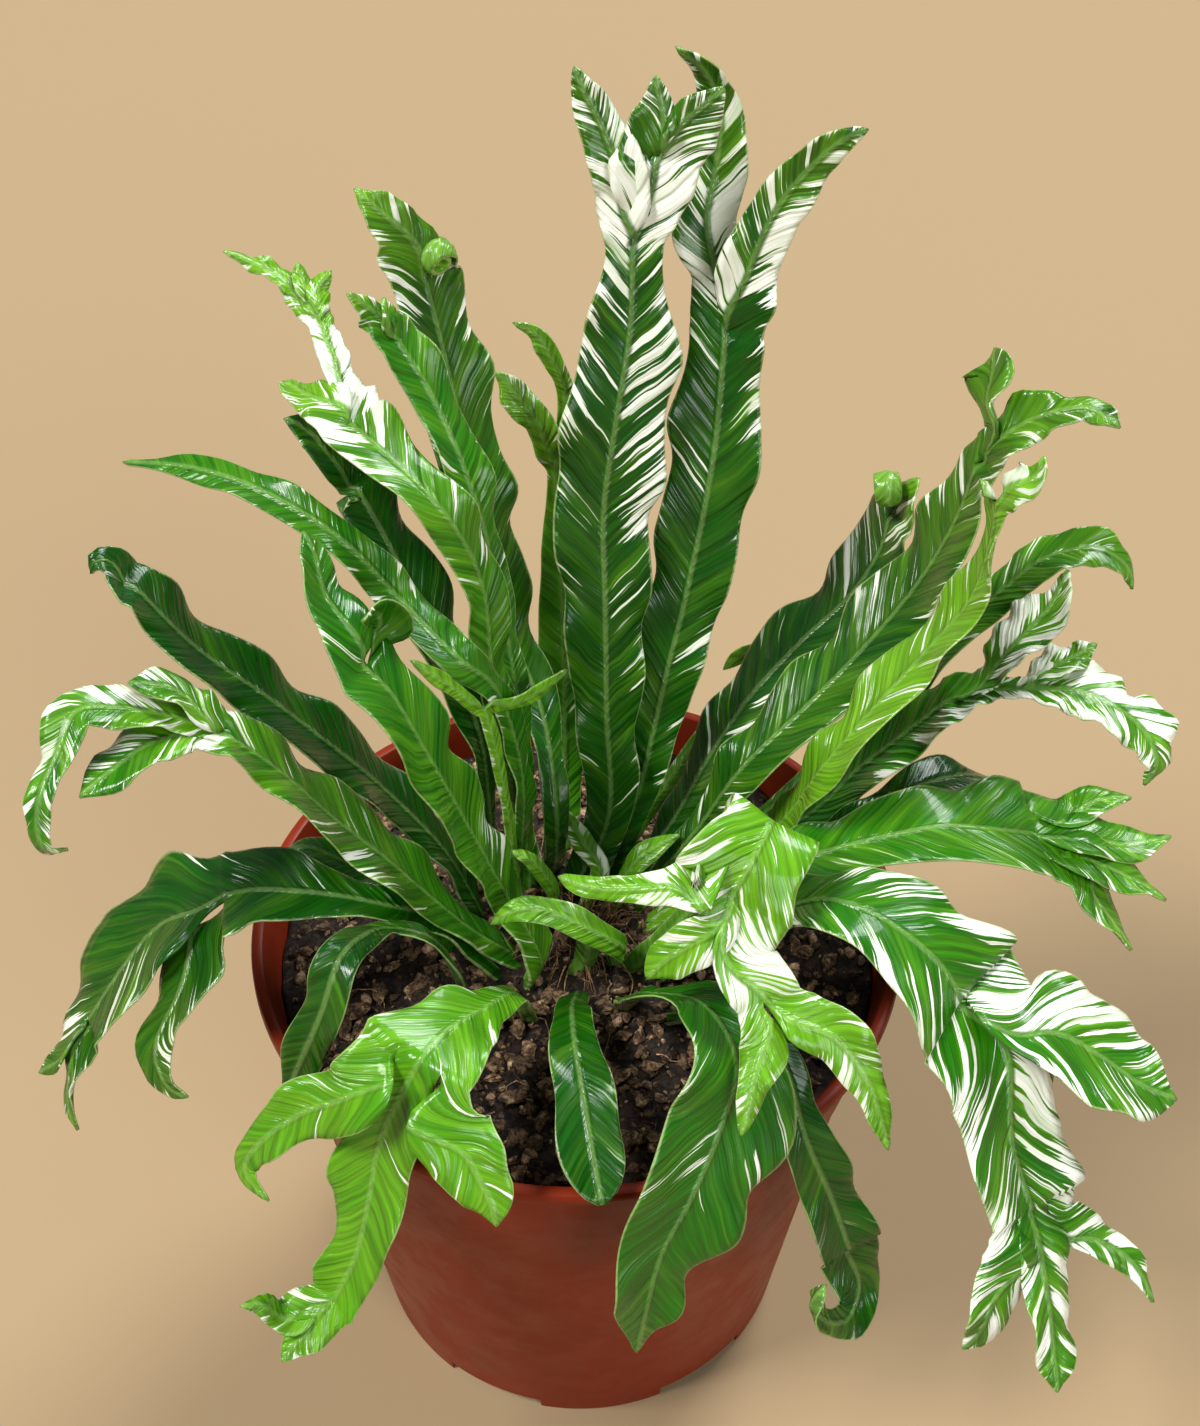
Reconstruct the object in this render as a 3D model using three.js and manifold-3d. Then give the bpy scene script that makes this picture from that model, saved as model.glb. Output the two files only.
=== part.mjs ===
// A crested, variegated bird's nest fern in a plastic nursery pot. Millimetres, +Z up.
import * as THREE from "three";
import { mergeVertices } from "three/addons/utils/BufferGeometryUtils.js";
import Module from "manifold-3d";

const wasm = await Module();
wasm.setup();

// Pot
const rimRadius = 100;
const potHeight = 175;
const rimLip = 3.6;
const rimBand = 4.5;
const collarTop = 95.5;
const collarDrop = 38;
const collarFoot = 91;
const stepIn = 1.5;
const footRadius = 72.4;
const floorHeight = 6;
const wallThickness = 1.8;
const footCount = 6;
const footGapWidth = 34;
const footGapTurn = 5;
const drainRadius = 5;
const drainCircle = 42;
const potSides = 36;

// Soil and crown
const soilLevel = 165;
const soilSides = 32;
const soilRings = 6;
const soilSlack = 0.7;
const chipCount = 13;
const crownRadius = 7.5;
const crownHeight = 9;

// Blades
const bladeHalf = 0.55;
const stalkHalf = 1.3;
const rootDepth = 9;
const socketSlack = 0.45;
const socketReach = 10;
const rowStep = 14;
const lobeStep = 10;
const coilStep = 2.6;
const channel = 0.16;
const waveHeight = 1.6;
const waveLength = 34;

const leafGreen = 0x2b7020;
const darkGreen = 0x1c5a1c;
const paleGreen = 0x6aa838;
const potBrown = 0x7d3222;
const soilBrown = 0x2b211a;
const crownBrown = 0x4a3a26;

const fronds = {
  tall_left: {
    at: [99, 17.5], heading: 92, roll: 0, columns: 6, color: darkGreen,
    spine: [[7, -13, 28], [16, -13, 63], [25, -13, 100], [33, -13, 128], [40, -17, 155],
      [48, -21, 178], [55, -22, 198]],
    width: [7, 14, 17, 22, 26, 30, 28, 16],
    lobes: [
      { share: 0.4, path: [[17, -1, 0], [31, 4, 0], [42, 10, 0], [47, 12, 0]],
        width: [6, 15, 14, 11, 3] },
      { share: 0.6, path: [[23, -2, 0]], width: [10, 24], lobes: [
        { share: 0.45, path: [[13, -5, 0], [22, -4, 0]], width: [11, 12, 4] },
        { share: 0.55, path: [[11, -4, 0], [21, -10, 0]], width: [13, 15, 5] },
      ] },
    ],
  },
  tall_right: {
    at: [69, 22.5], heading: 78, roll: 0, columns: 6, color: darkGreen,
    spine: [[12, -10, 37], [22, -15, 71], [32, -20, 103], [45, -24, 141], [53, -24, 160], [57, -24, 171]],
    width: [7, 10, 13, 18, 22, 24, 26, 21],
    lobes: [
      { share: 0.48, path: [[16, -1, -2], [31, 3, -5], [45, 2, -8], [60, 2, -6], [71, 7, 0], [76, 14, 5]],
        width: [10, 14, 17, 18, 14, 9, 2] },
      { share: 0.52, path: [[19, 0, 2], [37, -6, 4], [49, -14, 6], [57, -22, 8], [60, -28, 8]],
        width: [11, 17, 16, 14, 10, 3] },
    ],
  },
  back_small: {
    at: [98, 37.5], heading: 98, roll: 0, color: paleGreen,
    spine: [[13.5, -4, 32], [27.5, -6, 62], [39.5, -7, 93], [47.5, -7, 117]],
    width: [5, 11, 15, 17, 12, 5],
    lobes: [
      { share: 0.5, path: [[16, 3, 4], [23, 8, 2], [29, 12, 0], [32, 15, 0]], width: [4, 8, 9, 9, 2] },
      { share: 0.5, path: [[24, -3, 2], [34, 0, 4], [43, 5, 2], [46, 11, 0]], width: [4, 5, 5, 6, 2] },
    ],
  },
  left_coil: {
    at: [108, 28], heading: 118, roll: -10,
    spine: [[-11, 3, 39], [11, -4, 61], [27, -3, 79], [36, 2, 125], [50, 1, 150], [58, 1, 168],
      [65, 1, 182]],
    width: [7, 8, 9, 14, 20, 24, 26, 25],
    lobes: [
      { share: 0.62, path: [[13, 2, 2], [21, 6, 2], [30, 11, 0]], width: [16, 20, 13, 3] },
      { share: 0.38, twist: 85, path: [[2, -1, 0], [6, -1, 4]], width: [10, 7, 7], lobes: [
        { share: 1, coil: { radius: 5.2, turns: 1.6 }, width: [7, 7, 6, 5] },
      ] },
    ],
  },
  left_mid: {
    at: [127, 33], heading: 127, roll: -10,
    spine: [[-4, -1, 71], [7, -3, 110], [18, -3, 143], [35, -3, 164], [45, 0, 177]],
    width: [6, 7, 9, 9, 10, 15, 15],
    lobes: [
      { share: 0.5, path: [[9, -1, 0], [18, 4, 3]], width: [8, 8, 3] },
      { share: 0.5, path: [[6, 3, 2], [12, 3, 4]], width: [8, 8, 4] },
    ],
  },
  left_arch: {
    at: [136.5, 22], heading: 140, roll: -5, columns: 5,
    spine: [[4, -3.5, 16], [2, 2.5, 67], [8, 2.5, 93], [15, -2.5, 121], [24, 2.5, 146], [40, 3.5, 155],
      [55, 2.5, 159]],
    width: [7, 11, 11, 11, 14, 16, 16, 21],
    lobes: [
      { share: 0.45, path: [[10, -4, 0], [20, -4, -2], [27, -4, -4]], width: [9, 14, 12, 5] },
      { share: 0.55, path: [[18, -6, 0], [32, -12, 3]], width: [12, 9, 8], lobes: [
        { share: 0.4, path: [[17, 4, 0], [24, 12, 1], [28, 18, 2]], width: [4, 7, 6, 2] },
        { share: 0.25, path: [[13, 2, 2], [19, 2, 4]], width: [4, 7, 4] },
        { share: 0.35, path: [[10, 1, 2], [14, -4, 5]], width: [4, 7, 3] },
      ] },
    ],
  },
  left_dark: {
    at: [142, 36], heading: 145, roll: 0, color: darkGreen,
    spine: [[1, -1, 62], [17, -2, 100], [30, -2, 122], [41, -3, 138]],
    width: [6, 7, 8, 16, 22, 19],
    lobes: [
      { share: 0.3, path: [[-2, 0, 3], [0, 2, 6]], width: [6, 7, 2] },
      { share: 0.7, path: [[13, 5, 0], [21, 7, -2], [27, 11, -3]], width: [13, 15, 13, 4] },
    ],
  },
  left_long: {
    at: [158.5, 23.5], heading: 152, roll: 0,
    spine: [[-3.5, -6, 54], [2, -1.5, 96], [9, 5.5, 110], [30, -0.5, 118], [45, 3.5, 137],
      [70, 3.5, 145], [94, 2.5, 144], [119, 2.5, 138]],
    width: [6, 9, 11, 10, 13, 11, 10, 2],
  },
  left_high: {
    at: [229, 22.5], heading: 160, roll: 0, columns: 6,
    spine: [[-2, -1, 9], [7.5, -2, 33], [14.5, 6.5, 69.5], [22, 16, 108], [30, 16, 125], [36, 16, 131]],
    width: [7, 15, 18, 20, 22, 23, 25, 26],
    lobes: [
      { share: 0.55, path: [[11, -8, 2], [21, -15, 1], [29, -22, 2], [34, -25, 2]],
        width: [14, 17, 17, 14, 4] },
      { share: 0.45, path: [[-1, -4, 1], [2, -7, 5], [8, -3, 9], [10, 5, 10]],
        width: [12, 11, 10, 9, 6] },
    ],
  },
  left_dusk: {
    at: [164, 32.5], heading: 170, roll: 0, color: darkGreen,
    spine: [[11, -2, 27], [28, -3, 50], [42, -1, 68], [59, 0, 86], [77, 1, 103], [91, 2, 124]],
    width: [6, 11, 16, 21, 23, 23, 22, 18],
    lobes: [
      { share: 1, path: [[9, -2, -1], [12, 0, -3], [10, 1, -6]], width: [18, 12, 8, 2] },
    ],
  },
  left_fork: {
    at: [206, 21], heading: 182, roll: 0, columns: 6, color: paleGreen,
    spine: [[14, 1, 16], [25, 1, 32], [38, 1, 51], [51, 0, 67], [63, -1, 84], [76, -2, 98]],
    width: [6, 11, 16, 23, 27, 24, 21, 19],
    lobes: [
      { share: 0.3, path: [[8, -3, -3], [17, 3, -10], [22, 12, -18], [25, 18, -25]],
        width: [6, 15, 19, 16, 4] },
      { share: 0.35, path: [[13, 0, -4], [29, 4, -10], [37, 8, -15], [35, 17, -23], [32, 27, -32],
        [24, 32, -39], [17, 27, -40]],
        width: [7, 12, 16, 13, 9, 7, 4] },
      { share: 0.35, path: [[8, 3, 0], [20, 2, -1], [30, 5, -5]], width: [7, 14, 14, 6] },
    ],
  },
  left_low: {
    at: [206, 29], heading: 186, roll: 0, columns: 6, color: darkGreen,
    spine: [[18, 0, 27], [30, 7, 42], [41, 6, 46], [54, 4, 48], [67, 1, 47], [75, 1, 46]],
    width: [7, 9, 11, 12, 12, 17, 25, 35],
    lobes: [
      { share: 0.45, path: [[5, 4, -5], [18, 13, -15], [26, 23, -23], [24, 31, -29], [19, 35, -31]],
        width: [16, 25, 22, 18, 12, 3] },
      { share: 0.55, path: [[19, 3, -9], [35, 10, -20], [49, 18, -32]], width: [19, 37, 38, 29], lobes: [
        { share: 0.5, path: [[13, 1, 0], [23, 6, -3], [27, 9, -7]], width: [14, 11, 9, 2] },
        { share: 0.5, path: [[15, 6, 1], [24, 3, 2]], width: [14, 13, 4] },
      ] },
    ],
  },
  left_under: {
    at: [185, 40], heading: 176, roll: 0,
    spine: [[14, 0, 26], [28, -1, 35], [41, -1, 42], [49, -1, 36]],
    width: [6, 7, 9, 10, 11, 5],
  },
  left_strap: {
    at: [226, 43.5], heading: 200, roll: 0, color: darkGreen,
    spine: [[12, -2, 40], [21, -7, 42], [31, 0, 51], [40, 9, 55], [47, 14, 43], [56, 14, 22],
      [62, 15, 9]],
    width: [5, 5, 6, 8, 11, 13, 13, 4],
  },
  front_left: {
    at: [244, 34.5], heading: 228, roll: 0, columns: 6,
    spine: [[8, 2, 19], [24, 7, 33], [41, 9, 41], [53, 11, 42]],
    width: [6, 8, 10, 13, 24, 35],
    lobes: [
      { share: 0.3, path: [[5, 3, -7], [9, 14, -14], [12, 23, -19], [14, 27, -24]],
        width: [11, 23, 21, 16, 4] },
      { share: 0.42, path: [[10, -1, -28], [17, 3, -47], [24, 6, -64], [30, 5, -82]],
        width: [15, 24, 24, 18, 16], lobes: [
        { share: 0.5, path: [[11, -5, 9], [15, -5, 16]], width: [8, 12, 5] },
        { share: 0.5, path: [[9, -5, 9], [4, -10, 15], [4, -14, 20]], width: [8, 12, 8, 2] },
      ] },
      { share: 0.28, path: [[12, 1, -12], [18, -9, -24], [25, -16, -36], [30, -18, -48], [32, -8, -52]],
        width: [10, 19, 19, 13, 9, 2] },
    ],
  },
  front_strap: {
    at: [270, 24], heading: 267, roll: 0, color: darkGreen,
    spine: [[14, -1, 12], [38, 1, 25], [55, 4, 26], [69, 7, 20], [80, 10, 13]],
    width: [6, 8, 11, 14, 16, 19, 17],
  },
  front_right: {
    at: [297, 30.5], heading: 292, roll: 0, columns: 6,
    spine: [[25, -2, 35], [37, 7, 40], [56, 8, 37], [65, 0, 25], [75, -13, 13], [80, -24, -1],
      [84, -30, -20], [85, -33, -40]],
    width: [6, 9, 12, 27, 43, 36, 22, 3],
  },
  front_curl: {
    at: [311, 43], heading: 315, roll: 0, color: darkGreen,
    spine: [[35, -4, 32], [47, -6, 25], [58, -11, 13], [69, -9, -11], [77, -8, -30]],
    width: [6, 7, 8, 10, 15, 18, 19],
    lobes: [
      { share: 1, path: [[17, -1, -1], [21, -8, 2], [11, -17, 8], [-4, -21, 13], [-9, -16, 15]],
        width: [19, 17, 11, 8, 10, 6] },
    ],
  },
  near_big: {
    at: [316.5, 21], heading: 250, roll: 0, columns: 7, color: paleGreen,
    spine: [[3.5, 22.5, 44], [2.5, 37.5, 77], [0.5, 40.5, 82], [14.5, 39.5, 81], [21.5, 36.5, 74]],
    width: [7, 7, 7, 9, 15, 27, 36],
    lobes: [
      { share: 0.46, path: [[13, 1, 2], [21, 12, 3]], width: [16, 18, 18], lobes: [
        { share: 0.6, path: [[9, 4, 2], [19, 9, 4], [32, 11, 4], [53, 9, 0]], width: [11, 15, 14, 8, 2] },
        { share: 0.4, path: [[10, -1, 2], [18, -8, 4], [29, -17, 4]], width: [7, 13, 8, 3] },
      ] },
      { share: 0.24, path: [[11, 3, 2], [19, -1, 1], [27, -4, -2], [33, -5, -4]],
        width: [8, 12, 14, 12, 4] },
      { share: 0.3, path: [[0, 5, 3], [6, -2, 1], [14, -13, -2], [19, -22, -6], [21, -29, -11]],
        width: [9, 15, 10, 7, 6, 3] },
    ],
  },
  right_low: {
    at: [330.5, 31], heading: 330, roll: -10, columns: 8,
    spine: [[40.5, 1.5, 53], [50.5, 1.5, 60], [61.5, 1.5, 61], [71.5, 1.5, 58], [82.5, 1.5, 51],
      [89.5, 1.5, 41]],
    width: [7, 9, 14, 19, 21, 25, 35, 46],
    lobes: [
      { share: 0.42, path: [[12, -5, 7], [20, -2, 14], [34, 2, 21], [48, 5, 28], [57, 10, 32]],
        width: [19, 25, 31, 38, 26, 6] },
      { share: 0.58, path: [[19, 2, 5], [41, -7, 7], [56, -13, 9]], width: [27, 41, 37, 35], lobes: [
        { share: 0.32, path: [[7, -2, 0], [16, 3, 4], [26, 10, 8], [39, 12, 10]],
          width: [11, 13, 11, 9, 3] },
        { share: 0.36, path: [[13, -3, 1], [27, -6, 1], [40, -10, 1], [49, -12, 1]],
          width: [13, 16, 17, 16, 4] },
        { share: 0.32, path: [[9, -3, 0], [19, -10, -3], [25, -15, -6], [28, -19, -9]],
          width: [11, 18, 19, 17, 5] },
      ] },
    ],
  },
  right_wide: {
    at: [345, 25], heading: 4, roll: 0, columns: 8,
    spine: [[35.5, -4, 39.5], [50.5, -4.5, 46], [66, -3, 48.5], [83, -3, 51.5], [96, -2.5, 49],
      [112, -1.5, 44]],
    width: [7, 9, 14, 16, 23, 26, 33, 37],
    lobes: [
      { share: 0.27, path: [[14, -5, 2], [23, -3, 7], [32, -4, 11]], width: [10, 15, 12, 3] },
      { share: 0.25, path: [[16, -6, 3], [29, -8, 4], [43, -6, 8]], width: [10, 17, 14, 3] },
      { share: 0.23, path: [[16, -6, 2], [29, -11, 1], [38, -16, 0]], width: [9, 18, 15, 3] },
      { share: 0.25, path: [[9, -2, 0], [17, -10, -4], [26, -20, -9]], width: [9, 18, 13, 3] },
    ],
  },
  right_back: {
    at: [0, 39], heading: 14, roll: 0, color: darkGreen,
    spine: [[43, -5, 42], [56, -2.5, 46.5], [72, 2, 47], [85, 3, 45], [97, 4, 37]],
    width: [6, 7, 9, 11, 14, 17, 4],
  },
  right_coil: {
    at: [52, 29.5], heading: 30, roll: 10, color: darkGreen,
    spine: [[14, -1, 19], [26, 0, 38], [42, 1, 58], [61, 2, 72], [78, 1, 84], [89, 2, 97], [92, 3, 107]],
    width: [6, 9, 13, 19, 24, 27, 26, 26],
    lobes: [
      { share: 0.45, twist: -70, path: [[6, -2, 0], [12, -3, 3]], width: [12, 7, 7], lobes: [
        { share: 1, coil: { radius: 5.6, turns: 1.5 }, width: [7, 8, 7, 6] },
      ] },
      { share: 0.55, path: [[9, 2, -1], [16, 1, -2]], width: [14, 17, 6] },
    ],
  },
  right_tall: {
    at: [31.5, 21], heading: 22, roll: 10, color: darkGreen,
    spine: [[21.5, -1, 29], [33.5, -4, 53], [53.5, -4, 71], [73.5, -2, 87], [89.5, -2, 107],
      [98.5, -2, 126], [102.5, -2, 143]],
    width: [6, 9, 14, 22, 28, 30, 28, 21],
    lobes: [
      { share: 0.42, path: [[12, -4, -2], [17, 2, -1], [24, 6, -2], [28, 13, -4]],
        width: [9, 7, 11, 18, 6] },
      { share: 0.58, path: [[12, 0, -3], [19, -1, -7], [25, -5, -12], [28, -8, -18], [27, -15, -25]],
        width: [12, 17, 17, 12, 10, 3] },
    ],
  },
  right_pale: {
    at: [5, 20], heading: 14, roll: 5, color: paleGreen,
    spine: [[42, 2.5, 30.5], [51.5, -11.5, 71.5], [66, -10, 90], [82, -6, 105], [92, -6, 120],
      [95, -6, 139], [95, -6, 152]],
    width: [6, 8, 10, 15, 20, 22, 18, 11],
    lobes: [
      { share: 0.35, path: [[3, 1, 2], [4, 3, 4]], width: [4, 5, 3] },
      { share: 0.65, path: [[7, -1, -3], [11, -1, -8], [15, 2, -10]], width: [7, 12, 13, 4] },
    ],
  },
  right_crest: {
    at: [25.5, 30], heading: 9, roll: 5,
    spine: [[48.5, 1, 33], [60.5, 6, 41], [75.5, 6, 56], [87.5, 4, 70]],
    width: [6, 10, 16, 21, 25, 21],
    lobes: [
      { share: 0.5, path: [[10, -3, -3], [26, 1, -3], [39, 6, -4], [48, 14, -4]],
        width: [10, 13, 18, 20, 6] },
      { share: 0.5, path: [[10, 2, -3], [19, 0, -8]], width: [10, 8, 8], lobes: [
        { share: 0.35, path: [[12, 4, 1], [23, 10, 2]], width: [4, 14, 4] },
        { share: 0.65, path: [[15, 0, -2], [25, -4, -6], [33, -10, -13], [35, -16, -20], [31, -20, -24]],
          width: [5, 17, 21, 21, 14, 4] },
      ] },
    ],
  },
  right_hook: {
    at: [33, 39], heading: 22, roll: 0,
    spine: [[68, -1, 49], [89, -1, 74], [106, -1, 89]],
    width: [6, 7, 10, 13, 15],
    lobes: [
      { share: 1, path: [[13, -1, -1], [21, -3, -4], [28, -7, -9], [30, -13, -16], [27, -17, -21]],
        width: [15, 16, 16, 14, 11, 3] },
    ],
  },
  far_tip: {
    at: [68, 36], heading: 62, roll: 0,
    spine: [[25, -16, 38], [40, -25, 51], [48, -31, 58]],
    width: [5, 5, 5, 6, 6],
    lobes: [
      { share: 1, path: [[-1, 5, 2], [-5, 9, 2], [-13, 10, 0]], width: [6, 7, 5, 2] },
    ],
  },
  young_pair: {
    at: [170, 18], heading: 150, roll: 0, color: paleGreen,
    spine: [[2, 1.5, 51.5], [3, 5, 82], [6, 5, 96]],
    width: [4, 4, 5, 5, 6],
    lobes: [
      { share: 0.5, path: [[12, 6, -1], [23, 13, -2], [29, 16, -4]], width: [4, 4, 5, 2] },
      { share: 0.5, path: [[-6, -10, 1], [-9, -21, 3], [-11, -34, 4]], width: [4, 4, 5, 2] },
    ],
  },
  young_bright: {
    at: [153, 13], heading: 160, roll: 0, color: paleGreen,
    spine: [[-6, 4, 20], [-3, 6, 31], [0, 8, 38], [5, 9, 41]],
    width: [5, 6, 7, 7, 6, 3],
  },
  young_left: {
    at: [318.5, 13], heading: 168, roll: 0,
    spine: [[-6, 15, 24], [3, 19, 35], [13, 20, 41], [22, 23, 44], [30, 25, 38]],
    width: [5, 6, 7, 8, 9, 8, 3],
  },
  young_up: {
    at: [78, 12.5], heading: 95, roll: 0,
    spine: [[3, -5, 15], [7, 0, 23], [10, 5, 35]],
    width: [4, 5, 6, 7, 2],
  },
  young_mid: {
    at: [268, 14.5], heading: 262, roll: 0,
    spine: [[1, 3, 8], [6, 5, 24], [5, 6, 34]],
    width: [5, 6, 7, 8, 4],
  },
  young_right: {
    at: [44, 14], heading: 30, roll: 0,
    spine: [[10, -1, 19], [16, -2, 23], [23, -4, 27]],
    width: [4, 5, 7, 8, 3],
  },
};

// A small seeded generator, so that every random draw is the same each time.
function seeded(seed) {
  let state = seed >>> 0;
  return () => {
    state = (state * 1664525 + 1013904223) >>> 0;
    return state / 4294967296;
  };
}

function smooth(x) {
  const t = Math.min(1, Math.max(0, x));
  return t * t * (3 - 2 * t);
}

// Reads a list of values as a smooth profile over 0 to 1.
function profileAt(values, s) {
  const x = s * (values.length - 1);
  const i = Math.min(values.length - 2, Math.floor(x));
  return values[i] + (values[i + 1] - values[i]) * smooth(x - i);
}

function closedGeometry(geometry) {
  const bare = geometry.index ? geometry.toNonIndexed() : geometry.clone();
  bare.deleteAttribute("normal");
  bare.deleteAttribute("uv");
  const merged = mergeVertices(bare, 1e-3);
  const index = merged.index.array;
  const kept = [];
  for (let i = 0; i < index.length; i += 3) {
    const [a, b, c] = [index[i], index[i + 1], index[i + 2]];
    if (a !== b && b !== c && c !== a) kept.push(a, b, c);
  }
  merged.setIndex(kept);
  return merged;
}

function toSolid(geometry) {
  const closed = closedGeometry(geometry);
  return new wasm.Manifold(new wasm.Mesh({
    numProp: 3,
    vertProperties: new Float32Array(closed.attributes.position.array),
    triVerts: new Uint32Array(closed.index.array),
  }));
}

function fromSolid(solid) {
  const mesh = solid.getMesh();
  const geometry = new THREE.BufferGeometry();
  geometry.setAttribute("position", new THREE.BufferAttribute(new Float32Array(mesh.vertProperties), 3));
  geometry.setIndex(Array.from(mesh.triVerts));
  return geometry;
}

function part(name, geometry, color, roughness) {
  const shaded = geometry.clone();
  shaded.computeVertexNormals();
  const mesh = new THREE.Mesh(shaded, new THREE.MeshStandardMaterial({ color, roughness, metalness: 0 }));
  mesh.name = name;
  return mesh;
}

// A moving frame along a blade: forward, to the right of it, and up from its upper face.
class Frame {
  constructor(forward, right) {
    this.forward = forward.clone().normalize();
    this.right = right.clone().addScaledVector(this.forward, -right.dot(this.forward)).normalize();
    this.up = new THREE.Vector3().crossVectors(this.right, this.forward);
  }

  // The same frame bent the short way to a new direction.
  bentTo(forward) {
    const turn = new THREE.Quaternion().setFromUnitVectors(this.forward, forward);
    return new Frame(forward, this.right.clone().applyQuaternion(turn));
  }

  rolled(degrees) {
    const turn = new THREE.Quaternion().setFromAxisAngle(this.forward, THREE.MathUtils.degToRad(-degrees));
    return new Frame(this.forward, this.right.clone().applyQuaternion(turn));
  }

  // A point given as how far forward, to the left and up from an origin.
  place(origin, [ahead, left, lift]) {
    return origin.clone()
      .addScaledVector(this.forward, ahead)
      .addScaledVector(this.right, -left)
      .addScaledVector(this.up, lift);
  }
}

// A sheet of points and triangles without thickness; each point keeps its own half thickness.
class Sheet {
  constructor() {
    this.points = [];
    this.halves = [];
    this.triangles = [];
  }

  add(point, half) {
    this.points.push(point);
    this.halves.push(half);
    return this.points.length - 1;
  }

  // The quads between two rows, with diagonals mirrored about the middle of the row.
  join(near, far) {
    for (let c = 0; c + 1 < near.length; c++) {
      const [a, b, d, e] = [near[c], near[c + 1], far[c], far[c + 1]];
      if (c < (near.length - 1) / 2) this.triangles.push([a, b, d], [b, e, d]);
      else this.triangles.push([a, b, e], [a, e, d]);
    }
  }

  normals() {
    const sums = this.points.map(() => new THREE.Vector3());
    for (const [a, b, c] of this.triangles) {
      const [p, q, r] = [this.points[a], this.points[b], this.points[c]];
      const area = new THREE.Vector3().subVectors(q, p).cross(new THREE.Vector3().subVectors(r, p));
      for (const i of [a, b, c]) sums[i].add(area);
    }
    return sums.map((n) => n.normalize());
  }

  // The closed blade: an upper and an under face triangulated alike, with the margin between them.
  solid() {
    const normals = this.normals();
    const count = this.points.length;
    const positions = [];
    for (const side of [1, -1]) {
      this.points.forEach((p, i) => {
        const q = p.clone().addScaledVector(normals[i], side * this.halves[i]);
        positions.push(q.x, q.y, q.z);
      });
    }
    const index = [];
    const edges = new Set();
    for (const [a, b, c] of this.triangles) {
      index.push(a, b, c, a + count, c + count, b + count);
      for (const [p, q] of [[a, b], [b, c], [c, a]]) edges.add(p + ":" + q);
    }
    for (const edge of edges) {
      const [a, b] = edge.split(":").map(Number);
      if (edges.has(b + ":" + a)) continue;
      index.push(b, a, a + count, b, a + count, b + count);
    }
    const geometry = new THREE.BufferGeometry();
    geometry.setAttribute("position", new THREE.Float32BufferAttribute(positions, 3));
    geometry.setIndex(index);
    return geometry;
  }
}

function curveThrough(points) {
  return new THREE.CatmullRomCurve3(points, false, "centripetal");
}

// Lays one strip of blade along a curve. A lobe starts from its share of the last row before the fork
// and eases from that row's shape into its own.
function layStrip(sheet, curve, frame, shape) {
  const length = curve.getLength();
  const rows = Math.max(2, Math.round(length / shape.step));
  const root = shape.root;
  const middle = root ? new THREE.Vector3() : null;
  if (root) {
    middle.addVectors(sheet.points[root[0]], sheet.points[root[root.length - 1]]).multiplyScalar(0.5);
  }
  const blend = root ? 0.75 * shape.width[0] : 0;
  const columns = root ? root.length - 1 : shape.columns;
  let row = root;
  let here = frame;
  for (let j = root ? 1 : 0; j <= rows; j++) {
    const s = j / rows;
    const travelled = s * length;
    const centre = curve.getPointAt(s);
    here = here.bentTo(curve.getTangentAt(s).normalize());
    const rolled = here.rolled(shape.roll * smooth(s));
    const halfWidth = profileAt(shape.width, s) / 2;
    const half = shape.thickness(travelled);
    const next = [];
    for (let c = 0; c <= columns; c++) {
      const v = (2 * c) / columns - 1;
      const edge = Math.abs(v);
      const ripple = Math.sin((2 * Math.PI * travelled) / waveLength + shape.phase + (v > 0 ? 2.2 : 0));
      const calm = smooth(halfWidth / 9) * edge * edge;
      const across = v * halfWidth * (1 + 0.07 * ripple * calm);
      const lift = channel * edge * halfWidth + waveHeight * ripple * calm;
      const point = rolled.place(centre, [0, -across, lift]);
      if (root && travelled < blend) {
        const parent = sheet.points[root[c]].clone().add(centre).sub(middle);
        point.lerpVectors(parent, point.clone(), smooth(travelled / blend));
      }
      next.push(sheet.add(point, half + (half - bladeHalf) * 0.6 * (1 - edge)));
    }
    if (row) sheet.join(row, next);
    row = next;
  }
  return { row, frame: here.rolled(shape.roll), end: curve.getPointAt(1) };
}

// A fiddlehead: a flat spiral that rolls up over the upper face.
function coilPath({ radius, turns }) {
  const path = [];
  const count = Math.round(turns * 10);
  for (let i = 1; i <= count; i++) {
    const angle = (2 * Math.PI * turns * i) / count;
    const r = radius * (1 - (0.78 * i) / count);
    path.push([r * Math.sin(angle), 0, radius - r * Math.cos(angle)]);
  }
  return path;
}

// Splits the last row of a strip between its lobes, from left to right, and grows each of them.
function growLobes(sheet, lobes, width, strip, phase) {
  const columns = strip.row.length - 1;
  let taken = 0;
  let shareBefore = 0;
  lobes.forEach((lobe, k) => {
    const last = k === lobes.length - 1;
    const after = lobes.length - 1 - k;
    const wanted = Math.round((shareBefore + lobe.share) * columns);
    const upTo = last ? columns : Math.min(columns - after, Math.max(taken + 1, wanted));
    const root = strip.row.slice(taken, upTo + 1);
    const offset = (shareBefore + lobe.share / 2 - 0.5) * width;
    const origin = strip.frame.place(strip.end, [0, -offset, 0]);
    const path = lobe.coil ? coilPath(lobe.coil) : lobe.path;
    const points = [origin, ...path.map((p) => strip.frame.place(origin, p))];
    const curve = curveThrough(points);
    const next = layStrip(sheet, curve, strip.frame.bentTo(curve.getTangentAt(0).normalize()), {
      root,
      width: lobe.width,
      roll: lobe.twist ?? 0,
      step: lobe.coil ? coilStep : lobeStep,
      phase: phase + k,
      thickness: () => bladeHalf,
    });
    if (lobe.lobes) growLobes(sheet, lobe.lobes, lobe.width.at(-1), next, phase + k + 1);
    taken = upTo;
    shareBefore += lobe.share;
  });
}

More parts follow.
